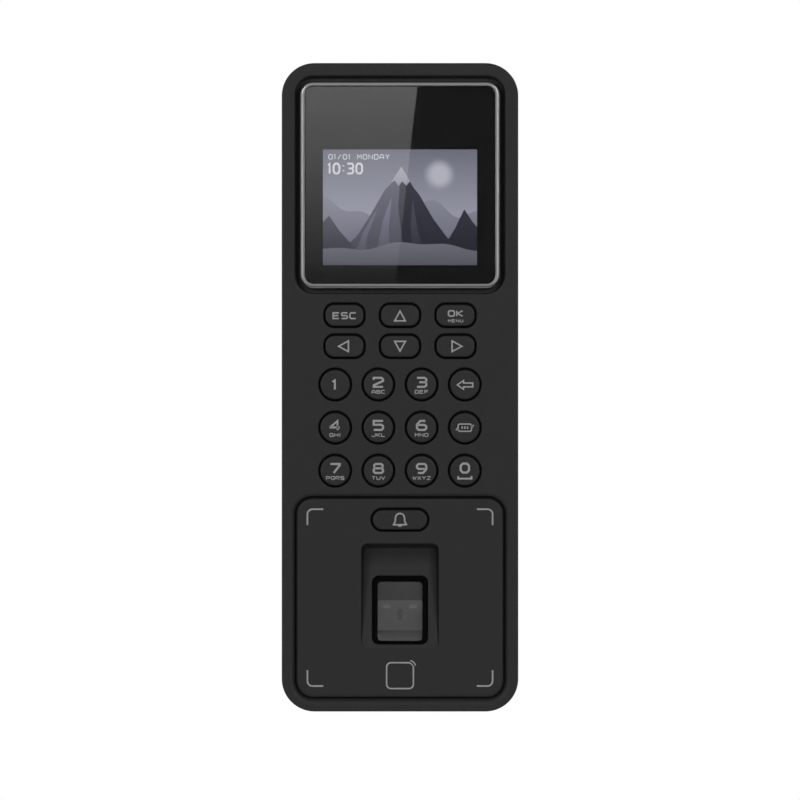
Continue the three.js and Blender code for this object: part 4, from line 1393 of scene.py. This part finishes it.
UNLIT = linear("#08080a")
BLEED = 0.3
LOW, HIGH = DISPLAY.z - PICTURE_H / 2 - BLEED, DISPLAY.z + PICTURE_H / 2 + BLEED
SIDE = PICTURE_W / 2 + BLEED
BASE = 43
PEAK, SADDLE = (0.4, 70.0), (-0.6, 57)
LAYER = 0.03
# From the sky forward: name, outline, low and high colours and the heights that they belong to.
SCENERY = [
    ("sky", [(-SIDE, LOW), (SIDE, LOW), (SIDE, HIGH), (-SIDE, HIGH)],
     "#a6a8b8", "#767888", 54, HIGH, (12.5, 67.5, 3.0, "#c4c6d2")),
    ("far_hills", ridge(-SIDE, SIDE, 57.0, [(2.6, 31.0, 0.4), (1.1, 12.0, 1.7)], LOW),
     "#666876", "#9294a4", LOW, 60),
    ("near_hills", ridge(-SIDE, SIDE, 49.5, [(2.2, 38.0, 2.6), (1.0, 15.0, 0.2)], LOW),
     "#5c5d6c", "#84869a", LOW, 53),
    ("peak_light_side", [
        (-19.0, BASE), (1.2, BASE), SADDLE, PEAK, (-3.2, 64.2), (-4.6, 63.0), (-9.5, 54.5), (-13.5, 48.2),
    ], "#454653", "#6c6e80", BASE, 68),
    ("peak_dark_side", [
        (1.2, BASE), (19.0, BASE), (14.6, 48), (10.5, 53.5), (6.2, 61.0), (4.4, 63.2), PEAK, SADDLE,
    ], "#262731", "#3f404c", BASE, 68),
    ("light_rib", [(-7.5, BASE), (-3.2, BASE), (-3.6, 50), (-2.6, 60.5), (-5.4, 53)],
     "#545664", "#8486a0", BASE, 62),
    ("far_rib", [(-14.0, BASE), (-11.0, BASE), (-10.4, 48), (-7.0, 57.0), (-11.6, 49.5)],
     "#545664", "#7c7e96", BASE, 58),
    ("dark_rib", [(4.0, BASE), (7.6, BASE), (5.6, 50), (4.0, 59.5), (3.4, 51)],
     "#30313c", "#565868", BASE, 61),
    ("snow", [PEAK, (-2.9, 64.9), (-1.6, 65.6), (-0.5, 63.9), (0.7, 65.3), (2.0, 64.0), (3.2, 65.4)],
     "#a0a2b0", "#bcbeca", 63, 70),
    ("right_peak", [(13.0, BASE), (17.5, 50.5), (20.4, 56.5), (23.0, 52.5), (SIDE, 50.5), (SIDE, BASE)],
     "#24252f", "#343542", 44, 56),
    ("left_peak", [
        (-SIDE, BASE), (-SIDE, 52.0), (-22.5, 54.5), (-19.5, 50.0), (-15.5, 45.5), (-14.0, BASE),
    ], "#3a3b47", "#565867", 45, 55),
    ("foreground", ridge(-SIDE, SIDE, 44.8, [(1.1, 44.0, 0.9), (0.5, 17.0, 2.2)], LOW),
     "#5a5b66", "#747582", LOW, 46),
]


def picture():
    """The lit picture: a dusk sky over plain mountains, with the time and a short date."""
    for layer, (name, outline, *light) in enumerate(SCENERY, 1):
        u = DISPLAY.front + LAYER * layer
        skin = Skin()
        front, back = skin.ring(outline, u), skin.ring(outline, u - 0.02)
        skin.cap(front)
        skin.cap(back)
        skin.wall(front, back)
        piece("picture_" + name, skin, lit(name, *light), sharp=FINE_EDGE)
    u = DISPLAY.front + LAYER * (len(SCENERY) + 1)
    skin = Skin()
    lettering(skin, "10:30", -17.3, 69.4, CLOCK_SIZE, u, 0.01)
    lettering(skin, "01/01 MONDAY", -13.0, 73.1, DATE_SIZE, u, 0.01)
    clock_light = lit("clock", "#e4e5ea", "#eeeff2", 67, 74)
    piece("picture_clock", skin, clock_light, sharp=FINE_EDGE)


# ---------- stage ----------
DOME_LOW, DOME_HIGH = 0.03, 0.08
# Name, place, size in metres and power in watts; all of them face the object.
SOFTBOXES = [
    ("upper_left_softbox", (-0.80, -1.6, 0.42), 0.5, 6.7),
    ("upper_right_softbox", (0.80, -1.6, 0.42), 0.5, 6.7),
    ("lower_left_softbox", (-0.80, -1.6, -0.40), 0.5, 0.9),
    ("lower_right_softbox", (0.80, -1.6, -0.40), 0.5, 0.9),
    ("left_side_softbox", (-1.5, 0.25, 0.2), 0.8, 6.0),
    ("right_side_softbox", (1.5, 0.25, 0.2), 0.8, 6.0),
    ("rear_softbox", (0.5, 1.1, 0.5), 0.9, 8.0),
    ("rear_left_softbox", (-0.8, 1.0, 0.2), 0.7, 5.0),
]
AIM = (0, -0.02, 0)
FLOOR_R, FLOOR_Z = 0.17, -0.21
CAMERA_DISTANCE = 2.5
VIEW_WIDTH = 0.2536
VIEW_HEIGHT = -0.00403
SENSOR_WIDTH = 36


def stage_mesh(name, points, faces, material):
    mesh = bpy.data.meshes.new(name)
    mesh.from_pydata(points, [], faces)
    mesh.materials.append(material)
    obj = bpy.data.objects.new(name, mesh)
    bpy.context.scene.collection.objects.link(obj)
    return obj


def softbox(name, place, size, watts):
    light = bpy.data.lights.new(name, "AREA")
    light.shape = "RECTANGLE"
    light.size = size
    light.size_y = size
    light.energy = watts
    obj = bpy.data.objects.new(name, light)
    bpy.context.scene.collection.objects.link(obj)
    obj.location = place
    obj.rotation_euler = (Vector(AIM) - Vector(place)).to_track_quat("-Z", "Y").to_euler()
    obj.visible_camera = False


def studio():
    """A dim dome that looks white behind the object, and the softboxes."""
    world = bpy.data.worlds.new("white_studio")
    bpy.context.scene.world = world
    world.use_nodes = True
    tree = world.node_tree
    background = tree.nodes["Background"]
    path = add(tree, "LightPath")
    up = add(tree, "SeparateXYZ", {"Vector": add(tree, "TexCoord").outputs["Generated"]}).outputs["Z"]
    dome = add(tree, "MapRange", {
        "Value": up, "From Min": -0.3, "From Max": 0.5, "To Min": DOME_LOW, "To Max": DOME_HIGH,
    })
    shade = add(tree, "Mix", {
        "Factor": path.outputs["Is Camera Ray"], "A": dome.outputs["Result"], "B": 1.0,
    })
    tree.links.new(shade.outputs["Result"], background.inputs["Strength"])
    background.inputs["Color"].default_value = (1, 1, 1, 1)
    bpy.context.scene.view_settings.view_transform = "Standard"
    for box in SOFTBOXES:
        softbox(*box)


def reflected_card():
    """A lit card in front that the glass mirrors as a pale slanted sheet over its left half."""
    depth, left = -0.6, -75
    edge_top, edge_low = 6.97, -1.97
    z_top, z_low = 119.5, 38.8
    z0, z1 = 20.0, 150.0
    slant = (edge_top - edge_low) / (z_top - z_low)
    right = [edge_low + slant * (z - z_low) for z in (z0, z1)]
    corners = [(left, z0), (right[0], z0), (right[1], z1), (left, z1)]

    def build(tree, shader):
        where = add(tree, "SeparateXYZ", {"Vector": add(tree, "TexCoord").outputs["Object"]})
        strength = add(tree, "MapRange", {
            "Value": where.outputs["Z"], "From Min": z_low * MM, "From Max": z_top * MM,
            "To Min": 0.05, "To Max": 1.35,
        })
        tree.links.new(strength.outputs["Result"], shader.inputs["Emission Strength"])
    paper = finish_of("lit_card", build, Base_Color=(0, 0, 0, 1), Emission_Color=(1, 1, 1, 1))
    card = stage_mesh("reflected_card", [(x * MM, depth, z * MM) for x, z in corners], [(0, 1, 2, 3)], paper)
    card.visible_camera = False
    card.visible_diffuse = False
    card.visible_shadow = False


def floor():
    """A plain pale disc under the object, small enough to leave low views open."""
    def build(tree, shader):
        mottled(tree, shader, "#f2f2f1", "#f6f6f5", 60.0)
        uneven_gloss(tree, shader, 0.8, 0.9, 30.0)
    paper = finish_of("pale_paper_sweep", build, Emission_Color=(1, 1, 1, 1), Emission_Strength=0.35)
    points = [(x, y, FLOOR_Z) for x, y in circle(FLOOR_R)()]
    sweep = stage_mesh("floor", points, [tuple(range(len(points)))], paper)
    sweep.visible_diffuse = False


def camera():
    """A long lens square to the front, a few millimetres below the middle of the case."""
    data = bpy.data.cameras.new("camera")
    data.sensor_width = SENSOR_WIDTH
    data.lens = SENSOR_WIDTH * CAMERA_DISTANCE / VIEW_WIDTH
    data.clip_end = 20
    obj = bpy.data.objects.new("camera", data)
    bpy.context.scene.collection.objects.link(obj)
    obj.location = (0, -FACE_U * MM - CAMERA_DISTANCE, VIEW_HEIGHT)
    obj.rotation_euler = (QUARTER, 0, 0)
    bpy.context.scene.camera = obj


# ---------- everything in its place ----------
camera()
studio()
floor()
reflected_card()
front_housing()
for key in ROUND_KEYS + PILL_KEYS + ["doorbell_key"]:
    keycap(key)
    legend(key, LEGENDS[key])
reader_marks()
screen_trim()
screen_lens()
lens_mask()
picture()
reader_panel()
finger_sensor()
rear_cover()
wall_plate()
screws()
for header in ("wiring_header_upper", "wiring_header_lower", "network_header"):
    socket(header)
board_parts()
speaker()
tamper_plunger()
usb_flap()
usb_port()
dress_inner_nodes()
